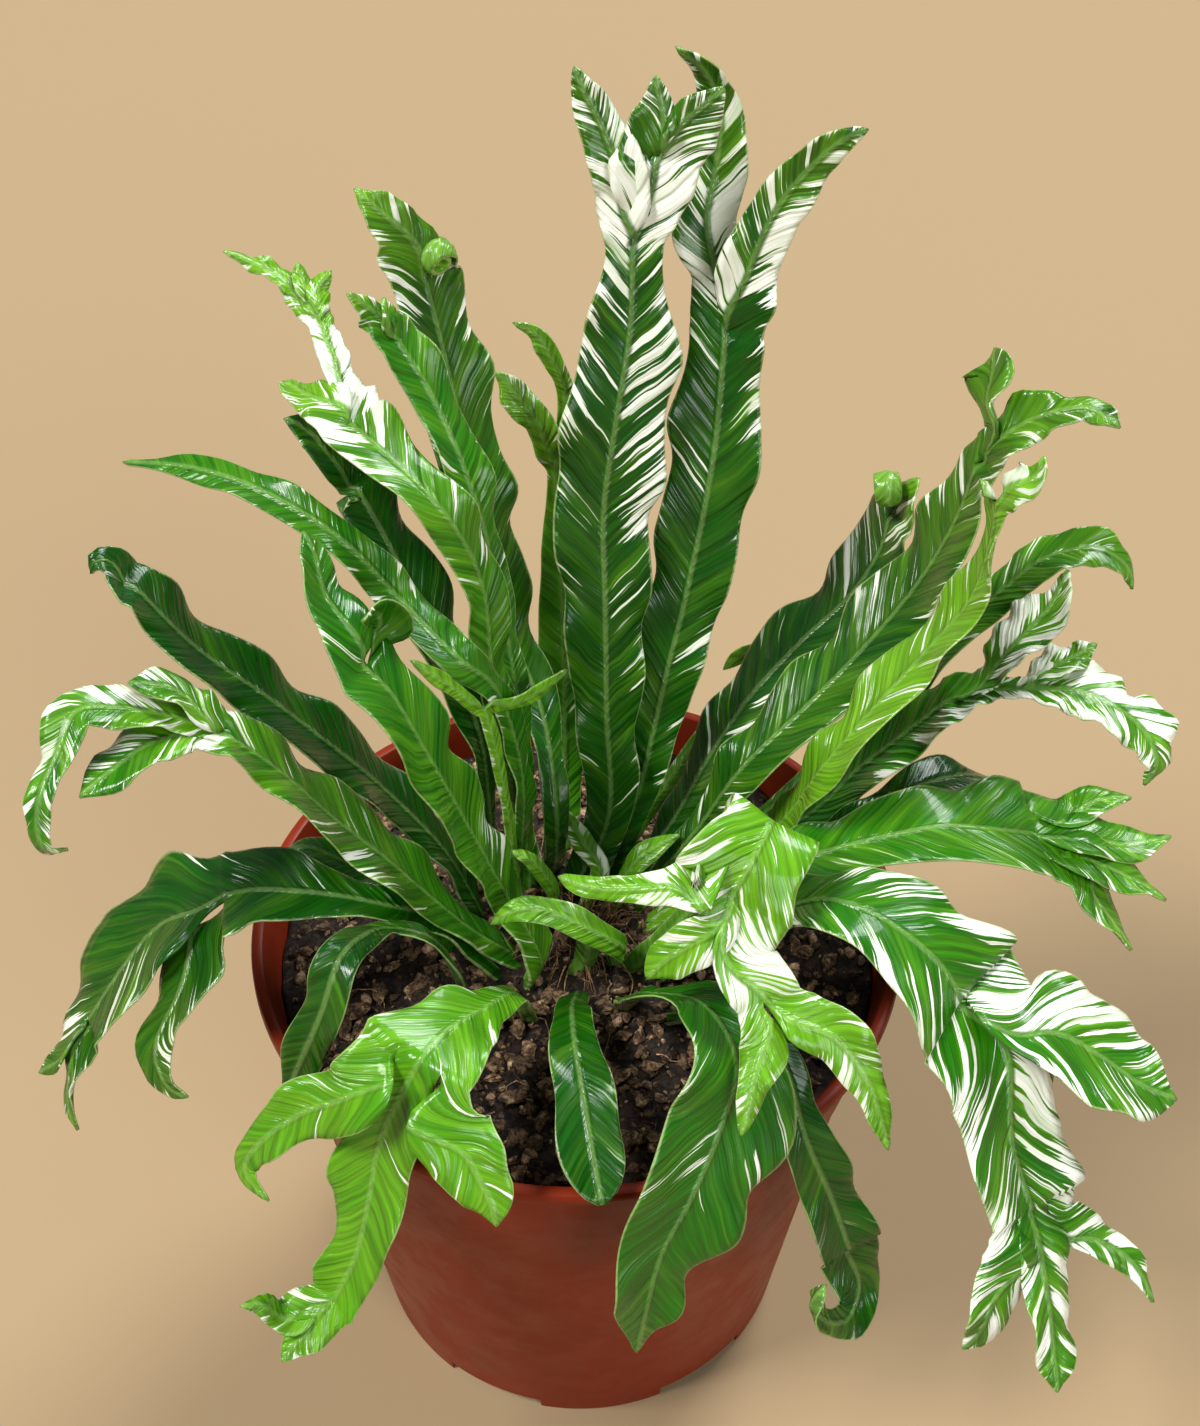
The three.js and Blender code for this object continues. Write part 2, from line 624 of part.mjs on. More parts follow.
// Where a frond leaves the soil, and its frame there before it bends.
function frondCurve({ at: [angle, radius], heading, spine }) {
  const bearing = THREE.MathUtils.degToRad(angle);
  const course = THREE.MathUtils.degToRad(heading);
  const base = new THREE.Vector3(radius * Math.cos(bearing), radius * Math.sin(bearing), soilLevel);
  const outward = new THREE.Vector3(Math.cos(course), Math.sin(course), 0);
  const leftward = new THREE.Vector3(-Math.sin(course), Math.cos(course), 0);
  const above = spine.map(([out, side, up]) => base.clone()
    .addScaledVector(outward, out)
    .addScaledVector(leftward, side)
    .add(new THREE.Vector3(0, 0, up)));
  const below = base.clone().addScaledVector(above[0].clone().sub(base).normalize(), -rootDepth);
  return { curve: curveThrough([below, base, ...above]), right: leftward.negate() };
}

function stalkThickness(travelled) {
  return bladeHalf + (stalkHalf - bladeHalf) * (1 - smooth((travelled - rootDepth) / 45));
}

function frondSheet(plan, seed) {
  const sheet = new Sheet();
  const { curve, right } = frondCurve(plan);
  const phase = seeded(seed)() * 2 * Math.PI;
  const frame = new Frame(curve.getTangentAt(0), right);
  const strip = layStrip(sheet, curve, frame, {
    columns: plan.columns ?? 4,
    width: plan.width,
    roll: plan.roll ?? 0,
    step: rowStep,
    phase,
    thickness: stalkThickness,
  });
  if (plan.lobes) growLobes(sheet, plan.lobes, plan.width.at(-1), strip, phase + 1);
  return sheet;
}

// The plain hole that a frond stands in: its own foot, a little larger all round.
function socketSolid(plan) {
  const { curve, right } = frondCurve(plan);
  const sheet = new Sheet();
  const length = curve.getLength();
  let here = new Frame(curve.getTangentAt(0), right);
  let row = null;
  for (const travelled of [-socketSlack, rootDepth * 0.5, rootDepth, rootDepth + socketReach]) {
    const s = Math.max(0, travelled) / length;
    here = here.bentTo(curve.getTangentAt(s).normalize());
    const centre = curve.getPointAt(s).addScaledVector(here.forward, Math.min(0, travelled));
    const halfWidth = profileAt(plan.width, s) / 2 + 2 * socketSlack;
    const half = stalkHalf * 1.6 + 2 * socketSlack;
    const next = [-1, 0, 1].map((v) => {
      const lift = channel * Math.abs(v) * halfWidth;
      return sheet.add(here.place(centre, [0, -v * halfWidth, lift]), half);
    });
    if (row) sheet.join(row, next);
    row = next;
  }
  return toSolid(sheet.solid());
}

const innerWall = [
  [footRadius - wallThickness + 0.4, floorHeight + wallThickness],
  [collarFoot - stepIn - wallThickness, potHeight - collarDrop - 2],
  [collarFoot - wallThickness, potHeight - collarDrop + 0.5],
  [collarTop - wallThickness, potHeight - rimBand - 2],
];

function potGeometry() {
  const profile = [
    [0, floorHeight],
    [footRadius - wallThickness, floorHeight],
    [footRadius - wallThickness - 0.2, 0],
    [footRadius, 0],
    [collarFoot - stepIn, potHeight - collarDrop - 1.5],
    [collarFoot, potHeight - collarDrop],
    [collarTop, potHeight - rimBand],
    [rimRadius - 0.3, potHeight - rimBand],
    [rimRadius, potHeight - 1],
    [rimRadius - 0.8, potHeight],
    [rimRadius - rimLip, potHeight],
    ...innerWall.toReversed(),
    [0, floorHeight + wallThickness],
  ];
  const lathe = new THREE.LatheGeometry(profile.map(([r, z]) => new THREE.Vector2(r, z)), potSides);
  lathe.rotateX(Math.PI / 2);
  let pot = toSolid(lathe);
  for (let k = 0; k < footCount; k++) {
    const turn = THREE.MathUtils.degToRad(footGapTurn + (360 * k) / footCount);
    const gap = new THREE.BoxGeometry(30, footGapWidth, 2 * (floorHeight - 0.6));
    gap.translate(footRadius, 0, 0);
    gap.rotateZ(turn);
    const drain = new THREE.CylinderGeometry(drainRadius, drainRadius, 6, 10);
    drain.rotateX(Math.PI / 2);
    drain.translate(drainCircle, 0, floorHeight + 1);
    drain.rotateZ(turn);
    pot = pot.subtract(toSolid(gap)).subtract(toSolid(drain));
  }
  return fromSolid(pot);
}

// The height of the soil above its level: low against the wall, heaped towards the crown, and lumpy.
function soilRelief(x, y) {
  const r = Math.hypot(x, y);
  const heap = 2.5 * smooth(1 - r / 60) - 4 * smooth((r - 60) / 30);
  const lumps = Math.sin(x * 0.23 + 1.3) * Math.cos(y * 0.19) + 0.7 * Math.sin(x * 0.41 - y * 0.37 + 0.6);
  return heap + lumps;
}

function soilGeometry(plans) {
  const slack = soilSlack;
  const top = soilLevel - 4;
  const edge = innerWall[2][0] + ((innerWall[3][0] - innerWall[2][0]) * (top - innerWall[2][1])) /
    (innerWall[3][1] - innerWall[2][1]) - slack - 0.3;
  const outline = [
    [0, innerWall[0][1] + slack],
    [innerWall[0][0] - slack, innerWall[0][1] + slack],
    [innerWall[1][0] - slack, innerWall[1][1]],
    [innerWall[2][0] - slack, innerWall[2][1] + 0.3],
  ];
  for (let k = soilRings; k >= 0; k--) outline.push([(edge * k) / soilRings, soilLevel]);
  const lathe = new THREE.LatheGeometry(outline.map(([r, z]) => new THREE.Vector2(r, z)), soilSides);
  lathe.rotateX(Math.PI / 2);
  const at = lathe.attributes.position;
  for (let i = 0; i < at.count; i++) {
    if (at.getZ(i) > soilLevel - 0.01) at.setZ(i, soilLevel + soilRelief(at.getX(i), at.getY(i)));
  }
  let soil = toSolid(lathe);
  const draw = seeded(11);
  for (let k = 0; k < chipCount; k++) {
    const r = 34 + 50 * Math.sqrt(draw());
    const turn = 2 * Math.PI * draw();
    const [x, y] = [r * Math.cos(turn), r * Math.sin(turn)];
    const chip = new THREE.IcosahedronGeometry(1, 0);
    chip.scale(3 + 3 * draw(), 2 + 2 * draw(), 1.6 + 1.4 * draw());
    chip.rotateZ(Math.PI * draw());
    chip.translate(x, y, soilLevel + soilRelief(x, y) + 0.4);
    soil = soil.add(toSolid(chip));
  }
  const hole = new THREE.CylinderGeometry(crownRadius + slack, crownRadius + slack, 24, 12);
  hole.rotateX(Math.PI / 2);
  hole.translate(0, 0, soilLevel + 12 - rootDepth - slack);
  soil = soil.subtract(toSolid(hole));
  for (const plan of plans) soil = soil.subtract(socketSolid(plan));
  return fromSolid(soil);
}

// The growing point: a short knobbly stump in its own hole in the middle of the soil.
function crownGeometry() {
  const r = crownRadius;
  const outline = [[0, -rootDepth], [r, -rootDepth], [r, 1], [r - 1, 5], [r - 3.5, crownHeight - 1], [0, crownHeight]];
  const lathe = new THREE.LatheGeometry(outline.map(([x, z]) => new THREE.Vector2(x, soilLevel + z)), 12);
  lathe.rotateX(Math.PI / 2);
  return fromSolid(toSolid(lathe));
}

const plant = new THREE.Group();
const plans = Object.entries(fronds);
plant.add(part("pot", potGeometry(), potBrown, 0.45));
plant.add(part("soil", soilGeometry(plans.map(([, plan]) => plan)), soilBrown, 0.95));
plant.add(part("crown", crownGeometry(), crownBrown, 0.8));
plans.forEach(([name, plan], k) => {
  plant.add(part(`frond_${name}`, frondSheet(plan, 100 + k).solid(), plan.color ?? leafGreen, 0.35));
});

// The origin lies on the floor under the middle of the whole plant.
const extent = new THREE.Box3().setFromObject(plant);
const middle = extent.getCenter(new THREE.Vector3());
plant.position.set(-middle.x, -middle.y, 0);

export default plant;
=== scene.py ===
import math
import random

import bmesh
import bpy
import numpy as np
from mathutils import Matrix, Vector, noise


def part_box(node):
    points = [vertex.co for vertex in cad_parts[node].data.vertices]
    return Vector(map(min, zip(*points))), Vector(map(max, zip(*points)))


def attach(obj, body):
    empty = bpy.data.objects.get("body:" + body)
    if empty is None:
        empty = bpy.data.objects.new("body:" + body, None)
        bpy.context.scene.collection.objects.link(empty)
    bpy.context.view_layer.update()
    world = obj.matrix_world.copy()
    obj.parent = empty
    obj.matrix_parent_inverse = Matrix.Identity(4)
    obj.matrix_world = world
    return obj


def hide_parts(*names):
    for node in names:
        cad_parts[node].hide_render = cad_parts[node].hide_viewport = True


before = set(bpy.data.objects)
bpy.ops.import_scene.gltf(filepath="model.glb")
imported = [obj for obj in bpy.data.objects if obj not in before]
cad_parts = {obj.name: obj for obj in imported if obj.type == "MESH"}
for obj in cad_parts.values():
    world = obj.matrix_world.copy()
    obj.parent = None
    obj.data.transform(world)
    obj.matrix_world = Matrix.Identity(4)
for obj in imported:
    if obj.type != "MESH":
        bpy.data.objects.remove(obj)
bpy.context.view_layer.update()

# A crested, variegated bird's nest fern in a plastic nursery pot, dressed over its solids.
# Lengths are in millimetres from the pot's axis at the floor, and new_object turns them into
# metres. Angles are in degrees unless they feed a sine.
MM = 0.001
TURN = 2 * math.pi
pot_low, pot_high = (Vector(corner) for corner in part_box("pot"))
AXIS = Vector(((pot_low.x + pot_high.x) / 2, (pot_low.y + pot_high.y) / 2, 0))

# Pot, as its solid
RIM_RADIUS = (pot_high.x - pot_low.x) / 2 / MM
POT_HEIGHT = pot_high.z / MM
COLLAR_TOP = RIM_RADIUS - 4.5
COLLAR_DROP = 38
COLLAR_FOOT = RIM_RADIUS - 9
STEP_IN = 1.5
FOOT_RADIUS = 72.4
FLOOR_HEIGHT = 6
WALL = 1.8
FOOT_COUNT = 6
FOOT_GAP_WIDTH = 34
FOOT_GAP_DEPTH = 15
FOOT_GAP_HEIGHT = 5.4
FOOT_GAP_TURN = 5
DRAIN_RADIUS = 5
DRAIN_CIRCLE = 42
DRAIN_SIDES = 20
POT_SIDES = 144
SHARP_ANGLE = 32

# Soil, as its solid, and what lies loose on it; the pairs are the least and the most
SOIL_LEVEL = 165
SOIL_EDGE = 92
SOIL_RINGS = 72
SOIL_SIDES = 180
HEAP_HEIGHT = 2.5
HEAP_RADIUS = 60
WALL_DIP = 4
BARK_COUNT = 2600
STONE_COUNT = 240
FIBRE_COUNT = 90
FIBRE_LENGTH = (8, 26)
FIBRE_LIFT = (0.5, 2.5)
FIBRE_RADIUS = (0.16, 0.32)
FIBRE_CURL = 1.1
ROOT_COUNT = 150
ROOT_START = (6, 15)
ROOT_REACH = (4, 14)
ROOT_RISE = (2, 9)
ROOT_STRAY = 1.5
ROOT_RADIUS = (0.2, 0.4)

# Blades, as their solids, with finer steps. Halves are half thicknesses, the stalk thins out over
# STALK_FADE, and MARGIN_SHIFT sets the waves of the two margins apart. Blades narrower than
# CALM_WIDTH to a side wave less.
BLADE_HALF = 0.5
STALK_HALF = 1.3
STALK_FADE = 45
ROOT_DEPTH = 9
CHANNEL = 0.16
WAVE_HEIGHT = 1.6
WAVE_LENGTH = 34
WAVE_SPREAD = 0.07
MARGIN_SHIFT = 2.2
FRILL_HEIGHT = 0.5
FRILL_LENGTH = 19
MARGIN_THINNING = 0.62
RIB_HEIGHT = 0.35
RIB_WIDTH = 1.1
CALM_WIDTH = 9
COIL_FLESH = 0.7
COIL_SWELL = 4
ROW_STEP = 2.4
LOBE_STEP = 0.75 * ROW_STEP
COIL_STEP = 0.8
COLUMNS = 20
NARROW_COLUMNS = 10

# As shares of a lobe's width: how far it takes to round its tip, and from its root to its own
# shape and its own marks
TIP_LENGTH = 0.9
SHAPE_BLEND = 0.75
MARKS_BLEND = 1.6

# The greens that a blade can have between its streaks
DARK = (0.0035, 0.066, 0.0006, 1)
MIDDLE = (0.011, 0.125, 0.0012, 1)
LIVELY = (0.034, 0.215, 0.0025, 1)

FRONDS = {}


def frond(name, at, heading, spine, width, cream, fresh, lobes=(), roll=0, green=MIDDLE,
          crest=1.4):
    """One frond. It leaves the soil at (angle, radius), its midrib's points are (out, left, up)
    from there, and width, cream and fresh run along it. Cream is the share of the blade that is
    cream and fresh how yellow-green it is: first value at the soil, middle value at the fork, last
    at the tips. Crest says how ruffled its lobes are."""
    FRONDS[name] = dict(at=at, heading=heading, spine=spine, width=width, cream=cream,
                        fresh=fresh, lobes=lobes, roll=roll, green=green, crest=crest)


def lobe(share, path, width, *lobes, twist=0):
    """A share of a fork, with points (forward, left, up) from there and lobes of its own."""
    return dict(share=share, path=path, width=width, lobes=lobes, twist=twist, coiled=False)


def coil(radius, turns, width):
    """A fiddlehead: a flat spiral that rolls up over the upper face."""
    count = round(turns * 10)
    path = []
    for i in range(1, count + 1):
        angle = TURN * turns * i / count
        r = radius * (1 - 0.78 * i / count)
        path.append((r * math.sin(angle), 0, radius - r * math.cos(angle)))
    return dict(share=1, path=path, width=width, lobes=(), twist=0, coiled=True)


frond(
    "tall_left", at=(99, 17.5), heading=92, green=DARK, crest=2.0,
    spine=[(7, -13, 28), (16, -13, 63), (25, -13, 100), (33, -13, 128), (40, -17, 155),
           (48, -21, 178), (55, -22, 198)],
    width=[7, 14, 17, 22, 26, 30, 28, 16], cream=[0.04, 0.12, 0.3, 0.42, 0.88, 0.55, 0.4],
    fresh=[0.1, 0.15, 0.1, 0.1, 0.2, 0.25, 0.3],
    lobes=[
        lobe(0.4, [(17, -1, 0), (31, 4, 0), (42, 10, 0), (47, 12, 0)], [6, 15, 14, 11, 3]),
        lobe(0.6, [(23, -2, 0)], [10, 24],
             lobe(0.45, [(13, -5, 0), (22, -4, 0)], [11, 12, 4]),
             lobe(0.55, [(11, -4, 0), (21, -10, 0)], [13, 15, 5])),
    ])
frond(
    "tall_right", at=(69, 22.5), heading=78, green=DARK, crest=1.8,
    spine=[(12, -10, 37), (22, -15, 71), (32, -20, 103), (45, -24, 141), (53, -24, 160),
           (57, -24, 171)],
    width=[7, 10, 13, 18, 22, 24, 26, 21], cream=[0.03, 0.06, 0.14, 0.3, 0.5, 0.35, 0.45],
    fresh=[0.1, 0.1, 0.1, 0.1, 0.15, 0.3, 0.3],
    lobes=[
        lobe(0.48, [(16, -1, -2), (31, 3, -5), (45, 2, -8), (60, 2, -6), (71, 7, 0), (76, 14, 5)],
             [10, 14, 17, 18, 14, 9, 2]),
        lobe(0.52, [(19, 0, 2), (37, -6, 4), (49, -14, 6), (57, -22, 8), (60, -28, 8)],
             [11, 17, 16, 14, 10, 3]),
    ])
frond(
    "back_small", at=(98, 37.5), heading=98, green=LIVELY, crest=2.4,
    spine=[(13.5, -4, 32), (27.5, -6, 62), (39.5, -7, 93), (47.5, -7, 117)],
    width=[5, 11, 15, 17, 12, 5], cream=[0.05, 0.05, 0.1, 0.2], fresh=[0.2, 0.4, 0.8, 0.9],
    lobes=[
        lobe(0.5, [(16, 3, 4), (23, 8, 2), (29, 12, 0), (32, 15, 0)], [4, 8, 9, 9, 2]),
        lobe(0.5, [(24, -3, 2), (34, 0, 4), (43, 5, 2), (46, 11, 0)], [4, 5, 5, 6, 2]),
    ])
frond(
    "left_coil", at=(108, 28), heading=118, roll=-10, green=DARK, crest=2.6,
    spine=[(-11, 3, 39), (11, -4, 61), (27, -3, 79), (36, 2, 125), (50, 1, 150), (58, 1, 168),
           (65, 1, 182)],
    width=[7, 8, 9, 14, 20, 24, 26, 25], cream=[0.02, 0.05, 0.12, 0.25, 0.4, 0],
    fresh=[0.1, 0.15, 0.25, 0.3, 0.45, 0.8],
    lobes=[
        lobe(0.62, [(13, 2, 2), (21, 6, 2), (30, 11, 0)], [16, 20, 13, 3]),
        lobe(0.38, [(2, -1, 0), (6, -1, 4)], [10, 7, 7],
             coil(5.2, 1.6, [7, 7, 6, 5]), twist=85),
    ])
frond(
    "left_mid", at=(127, 33), heading=127, roll=-10, crest=3.0,
    spine=[(-4, -1, 71), (7, -3, 110), (18, -3, 143), (35, -3, 164), (45, 0, 177)],
    width=[6, 7, 9, 9, 10, 15, 15], cream=[0.05, 0.08, 0.2, 0.35], fresh=[0.15, 0.2, 0.3, 0.8],
    lobes=[
        lobe(0.5, [(9, -1, 0), (18, 4, 3)], [8, 8, 3]),
        lobe(0.5, [(6, 3, 2), (12, 3, 4)], [8, 8, 4]),
    ])
frond(
    "left_arch", at=(136.5, 22), heading=140, roll=-5, crest=2.6,
    spine=[(4, -3.5, 16), (2, 2.5, 67), (8, 2.5, 93), (15, -2.5, 121), (24, 2.5, 146),
           (40, 3.5, 155), (55, 2.5, 159)],
    width=[7, 11, 11, 11, 14, 16, 16, 21], cream=[0.04, 0.06, 0.12, 0.7, 0.25, 0.12],
    fresh=[0.25, 0.3, 0.4, 0.5, 0.9, 0.9],
    lobes=[
        lobe(0.45, [(10, -4, 0), (20, -4, -2), (27, -4, -4)], [9, 14, 12, 5]),
        lobe(0.55, [(18, -6, 0), (32, -12, 3)], [12, 9, 8],
             lobe(0.4, [(17, 4, 0), (24, 12, 1), (28, 18, 2)], [4, 7, 6, 2]),
             lobe(0.25, [(13, 2, 2), (19, 2, 4)], [4, 7, 4]),
             lobe(0.35, [(10, 1, 2), (14, -4, 5)], [4, 7, 3])),
    ])
frond(
    "left_dark", at=(142, 36), heading=145, green=DARK,
    spine=[(1, -1, 62), (17, -2, 100), (30, -2, 122), (41, -3, 138)],
    width=[6, 7, 8, 16, 22, 19], cream=[0, 0, 0.04, 0.25], fresh=[0, 0, 0.1, 0.2],
    lobes=[
        lobe(0.3, [(-2, 0, 3), (0, 2, 6)], [6, 7, 2]),
        lobe(0.7, [(13, 5, 0), (21, 7, -2), (27, 11, -3)], [13, 15, 13, 4]),
    ])
frond(
    "left_long", at=(158.5, 23.5), heading=152,
    spine=[(-3.5, -6, 54), (2, -1.5, 96), (9, 5.5, 110), (30, -0.5, 118), (45, 3.5, 137),
           (70, 3.5, 145), (94, 2.5, 144), (119, 2.5, 138)],
    width=[6, 9, 11, 10, 13, 11, 10, 2], cream=[0.04, 0.06, 0.15, 0.4], fresh=[0.2, 0.2, 0.3, 0.5])
frond(
    "left_high", at=(229, 22.5), heading=160,
    spine=[(-2, -1, 9), (7.5, -2, 33), (14.5, 6.5, 69.5), (22, 16, 108), (30, 16, 125),
           (36, 16, 131)],
    width=[7, 15, 18, 20, 22, 23, 25, 26], cream=[0.05, 0.06, 0.08, 0.2],
    fresh=[0.5, 0.3, 0.12, 0.2],
    lobes=[
        lobe(0.55, [(11, -8, 2), (21, -15, 1), (29, -22, 2), (34, -25, 2)], [14, 17, 17, 14, 4]),
        lobe(0.45, [(-1, -4, 1), (2, -7, 5), (8, -3, 9), (10, 5, 10)], [12, 11, 10, 9, 6]),
    ])
frond(
    "left_dusk", at=(164, 32.5), heading=170, green=DARK,
    spine=[(11, -2, 27), (28, -3, 50), (42, -1, 68), (59, 0, 86), (77, 1, 103), (91, 2, 124)],
    width=[6, 11, 16, 21, 23, 23, 22, 18], cream=[0.01, 0.01, 0.03, 0.03],
    fresh=[0.02, 0.02, 0.05, 0.15],
    lobes=[
        lobe(1, [(9, -2, -1), (12, 0, -3), (10, 1, -6)], [18, 12, 8, 2]),
    ])
frond(
    "left_fork", at=(206, 21), heading=182, crest=1.8,
    spine=[(14, 1, 16), (25, 1, 32), (38, 1, 51), (51, 0, 67), (63, -1, 84), (76, -2, 98)],
    width=[6, 11, 16, 23, 27, 24, 21, 19], cream=[0.05, 0.08, 0.13, 0.45, 0.35, 0.3],
    fresh=[0.25, 0.25, 0.35, 0.5, 0.3, 0.3],
    lobes=[
        lobe(0.3, [(8, -3, -3), (17, 3, -10), (22, 12, -18), (25, 18, -25)], [6, 15, 19, 16, 4]),
        lobe(0.35, [(13, 0, -4), (29, 4, -10), (37, 8, -15), (35, 17, -23), (32, 27, -32),
                    (24, 32, -39), (17, 27, -40)], [7, 12, 16, 13, 9, 7, 4]),
        lobe(0.35, [(8, 3, 0), (20, 2, -1), (30, 5, -5)], [7, 14, 14, 6]),
    ])
frond(
    "left_low", at=(206, 29), heading=186, green=DARK,
    spine=[(18, 0, 27), (30, 7, 42), (41, 6, 46), (54, 4, 48), (67, 1, 47), (75, 1, 46)],
    width=[7, 9, 11, 12, 12, 17, 25, 35], cream=[0.01, 0.02, 0.06, 0.14, 0.2],
    fresh=[0.05, 0.08, 0.12, 0.25, 0.35],
    lobes=[
        lobe(0.45, [(5, 4, -5), (18, 13, -15), (26, 23, -23), (24, 31, -29), (19, 35, -31)],
             [16, 25, 22, 18, 12, 3]),
        lobe(0.55, [(19, 3, -9), (35, 10, -20), (49, 18, -32)], [19, 37, 38, 29],
             lobe(0.5, [(13, 1, 0), (23, 6, -3), (27, 9, -7)], [14, 11, 9, 2]),
             lobe(0.5, [(15, 6, 1), (24, 3, 2)], [14, 13, 4])),
    ])
frond(
    "left_under", at=(185, 40), heading=176,
    spine=[(14, 0, 26), (28, -1, 35), (41, -1, 42), (49, -1, 36)],
    width=[6, 7, 9, 10, 11, 5], cream=[0, 0, 0], fresh=[0.1, 0.1, 0.2])
frond(
    "left_strap", at=(226, 43.5), heading=200, green=DARK,
    spine=[(12, -2, 40), (21, -7, 42), (31, 0, 51), (40, 9, 55), (47, 14, 43), (56, 14, 22),
           (62, 15, 9)],
    width=[5, 5, 6, 8, 11, 13, 13, 4], cream=[0, 0, 0], fresh=[0.1, 0.1, 0.15])
frond(
    "front_left", at=(244, 34.5), heading=228, green=LIVELY,
    spine=[(8, 2, 19), (24, 7, 33), (41, 9, 41), (53, 11, 42)],
    width=[6, 8, 10, 13, 24, 35], cream=[0.03, 0.06, 0.1, 0.12], fresh=[0.5, 0.45, 0.55, 0.6],
    lobes=[
        lobe(0.3, [(5, 3, -7), (9, 14, -14), (12, 23, -19), (14, 27, -24)], [11, 23, 21, 16, 4]),
        lobe(0.42, [(10, -1, -28), (17, 3, -47), (24, 6, -64), (30, 5, -82)], [15, 24, 24, 18, 16],
             lobe(0.5, [(11, -5, 9), (15, -5, 16)], [8, 12, 5]),
             lobe(0.5, [(9, -5, 9), (4, -10, 15), (4, -14, 20)], [8, 12, 8, 2])),
        lobe(0.28, [(12, 1, -12), (18, -9, -24), (25, -16, -36), (30, -18, -48), (32, -8, -52)],
             [10, 19, 19, 13, 9, 2]),
    ])
frond(
    "front_strap", at=(270, 24), heading=267, green=DARK,
    spine=[(14, -1, 12), (38, 1, 25), (55, 4, 26), (69, 7, 20), (80, 10, 13)],
    width=[6, 8, 11, 14, 16, 19, 17], cream=[0.01, 0.02, 0.04, 0.15], fresh=[0.15, 0.1, 0.15, 0.3])
frond(
    "front_right", at=(297, 30.5), heading=292,
    spine=[(25, -2, 35), (37, 7, 40), (56, 8, 37), (65, 0, 25), (75, -13, 13), (80, -24, -1),
           (84, -30, -20), (85, -33, -40)],
    width=[6, 9, 12, 27, 43, 36, 22, 3], cream=[0.02, 0.06, 0.15, 0.2],
    fresh=[0.05, 0.1, 0.3, 0.65])
frond(
    "front_curl", at=(311, 43), heading=315, green=DARK,
    spine=[(35, -4, 32), (47, -6, 25), (58, -11, 13), (69, -9, -11), (77, -8, -30)],
    width=[6, 7, 8, 10, 15, 18, 19], cream=[0, 0.01, 0.02, 0.12], fresh=[0.02, 0.05, 0.1, 0.5],
    lobes=[
        lobe(1, [(17, -1, -1), (21, -8, 2), (11, -17, 8), (-4, -21, 13), (-9, -16, 15)],
             [19, 17, 11, 8, 10, 6]),
    ])
frond(
    "near_big", at=(316.5, 21), heading=250, green=LIVELY, crest=1.5,
    spine=[(3.5, 22.5, 44), (2.5, 37.5, 77), (0.5, 40.5, 82), (14.5, 39.5, 81), (21.5, 36.5, 74)],
    width=[7, 7, 7, 9, 15, 27, 36], cream=[0.02, 0.05, 0.12, 0.24, 0.5, 0.32, 0.2],
    fresh=[0.5, 0.65, 0.65, 0.6, 0.65, 0.7, 0.7],
    lobes=[
        lobe(0.46, [(13, 1, 2), (21, 12, 3)], [16, 18, 18],
             lobe(0.6, [(9, 4, 2), (19, 9, 4), (32, 11, 4), (53, 9, 0)], [11, 15, 14, 8, 2]),
             lobe(0.4, [(10, -1, 2), (18, -8, 4), (29, -17, 4)], [7, 13, 8, 3])),
        lobe(0.24, [(11, 3, 2), (19, -1, 1), (27, -4, -2), (33, -5, -4)], [8, 12, 14, 12, 4]),
        lobe(0.3, [(0, 5, 3), (6, -2, 1), (14, -13, -2), (19, -22, -6), (21, -29, -11)],
             [9, 15, 10, 7, 6, 3]),
    ])
frond(
    "right_low", at=(330.5, 31), heading=330, roll=-10, crest=1.5,
    spine=[(40.5, 1.5, 53), (50.5, 1.5, 60), (61.5, 1.5, 61), (71.5, 1.5, 58), (82.5, 1.5, 51),
           (89.5, 1.5, 41)],
    width=[7, 9, 14, 19, 21, 25, 35, 46], cream=[0.05, 0.14, 0.24, 0.48, 0.42, 0.4],
    fresh=[0.15, 0.2, 0.2, 0.25, 0.3, 0.35],
    lobes=[
        lobe(0.42, [(12, -5, 7), (20, -2, 14), (34, 2, 21), (48, 5, 28), (57, 10, 32)],
             [19, 25, 31, 38, 26, 6]),
        lobe(0.58, [(19, 2, 5), (41, -7, 7), (56, -13, 9)], [27, 41, 37, 35],
             lobe(0.32, [(7, -2, 0), (16, 3, 4), (26, 10, 8), (39, 12, 10)], [11, 13, 11, 9, 3]),
             lobe(0.36, [(13, -3, 1), (27, -6, 1), (40, -10, 1), (49, -12, 1)],
                  [13, 16, 17, 16, 4]),
             lobe(0.32, [(9, -3, 0), (19, -10, -3), (25, -15, -6), (28, -19, -9)],
                  [11, 18, 19, 17, 5])),
    ])
frond(
    "right_wide", at=(345, 25), heading=4,
    spine=[(35.5, -4, 39.5), (50.5, -4.5, 46), (66, -3, 48.5), (83, -3, 51.5), (96, -2.5, 49),
           (112, -1.5, 44)],
    width=[7, 9, 14, 16, 23, 26, 33, 37], cream=[0.02, 0.04, 0.06, 0.08],
    fresh=[0.2, 0.25, 0.3, 0.45],
    lobes=[
        lobe(0.27, [(14, -5, 2), (23, -3, 7), (32, -4, 11)], [10, 15, 12, 3]),
        lobe(0.25, [(16, -6, 3), (29, -8, 4), (43, -6, 8)], [10, 17, 14, 3]),
        lobe(0.23, [(16, -6, 2), (29, -11, 1), (38, -16, 0)], [9, 18, 15, 3]),
        lobe(0.25, [(9, -2, 0), (17, -10, -4), (26, -20, -9)], [9, 18, 13, 3]),
    ])
frond(
    "right_back", at=(0, 39), heading=14, green=DARK,
    spine=[(43, -5, 42), (56, -2.5, 46.5), (72, 2, 47), (85, 3, 45), (97, 4, 37)],
    width=[6, 7, 9, 11, 14, 17, 4], cream=[0, 0, 0.02], fresh=[0.1, 0.1, 0.2])
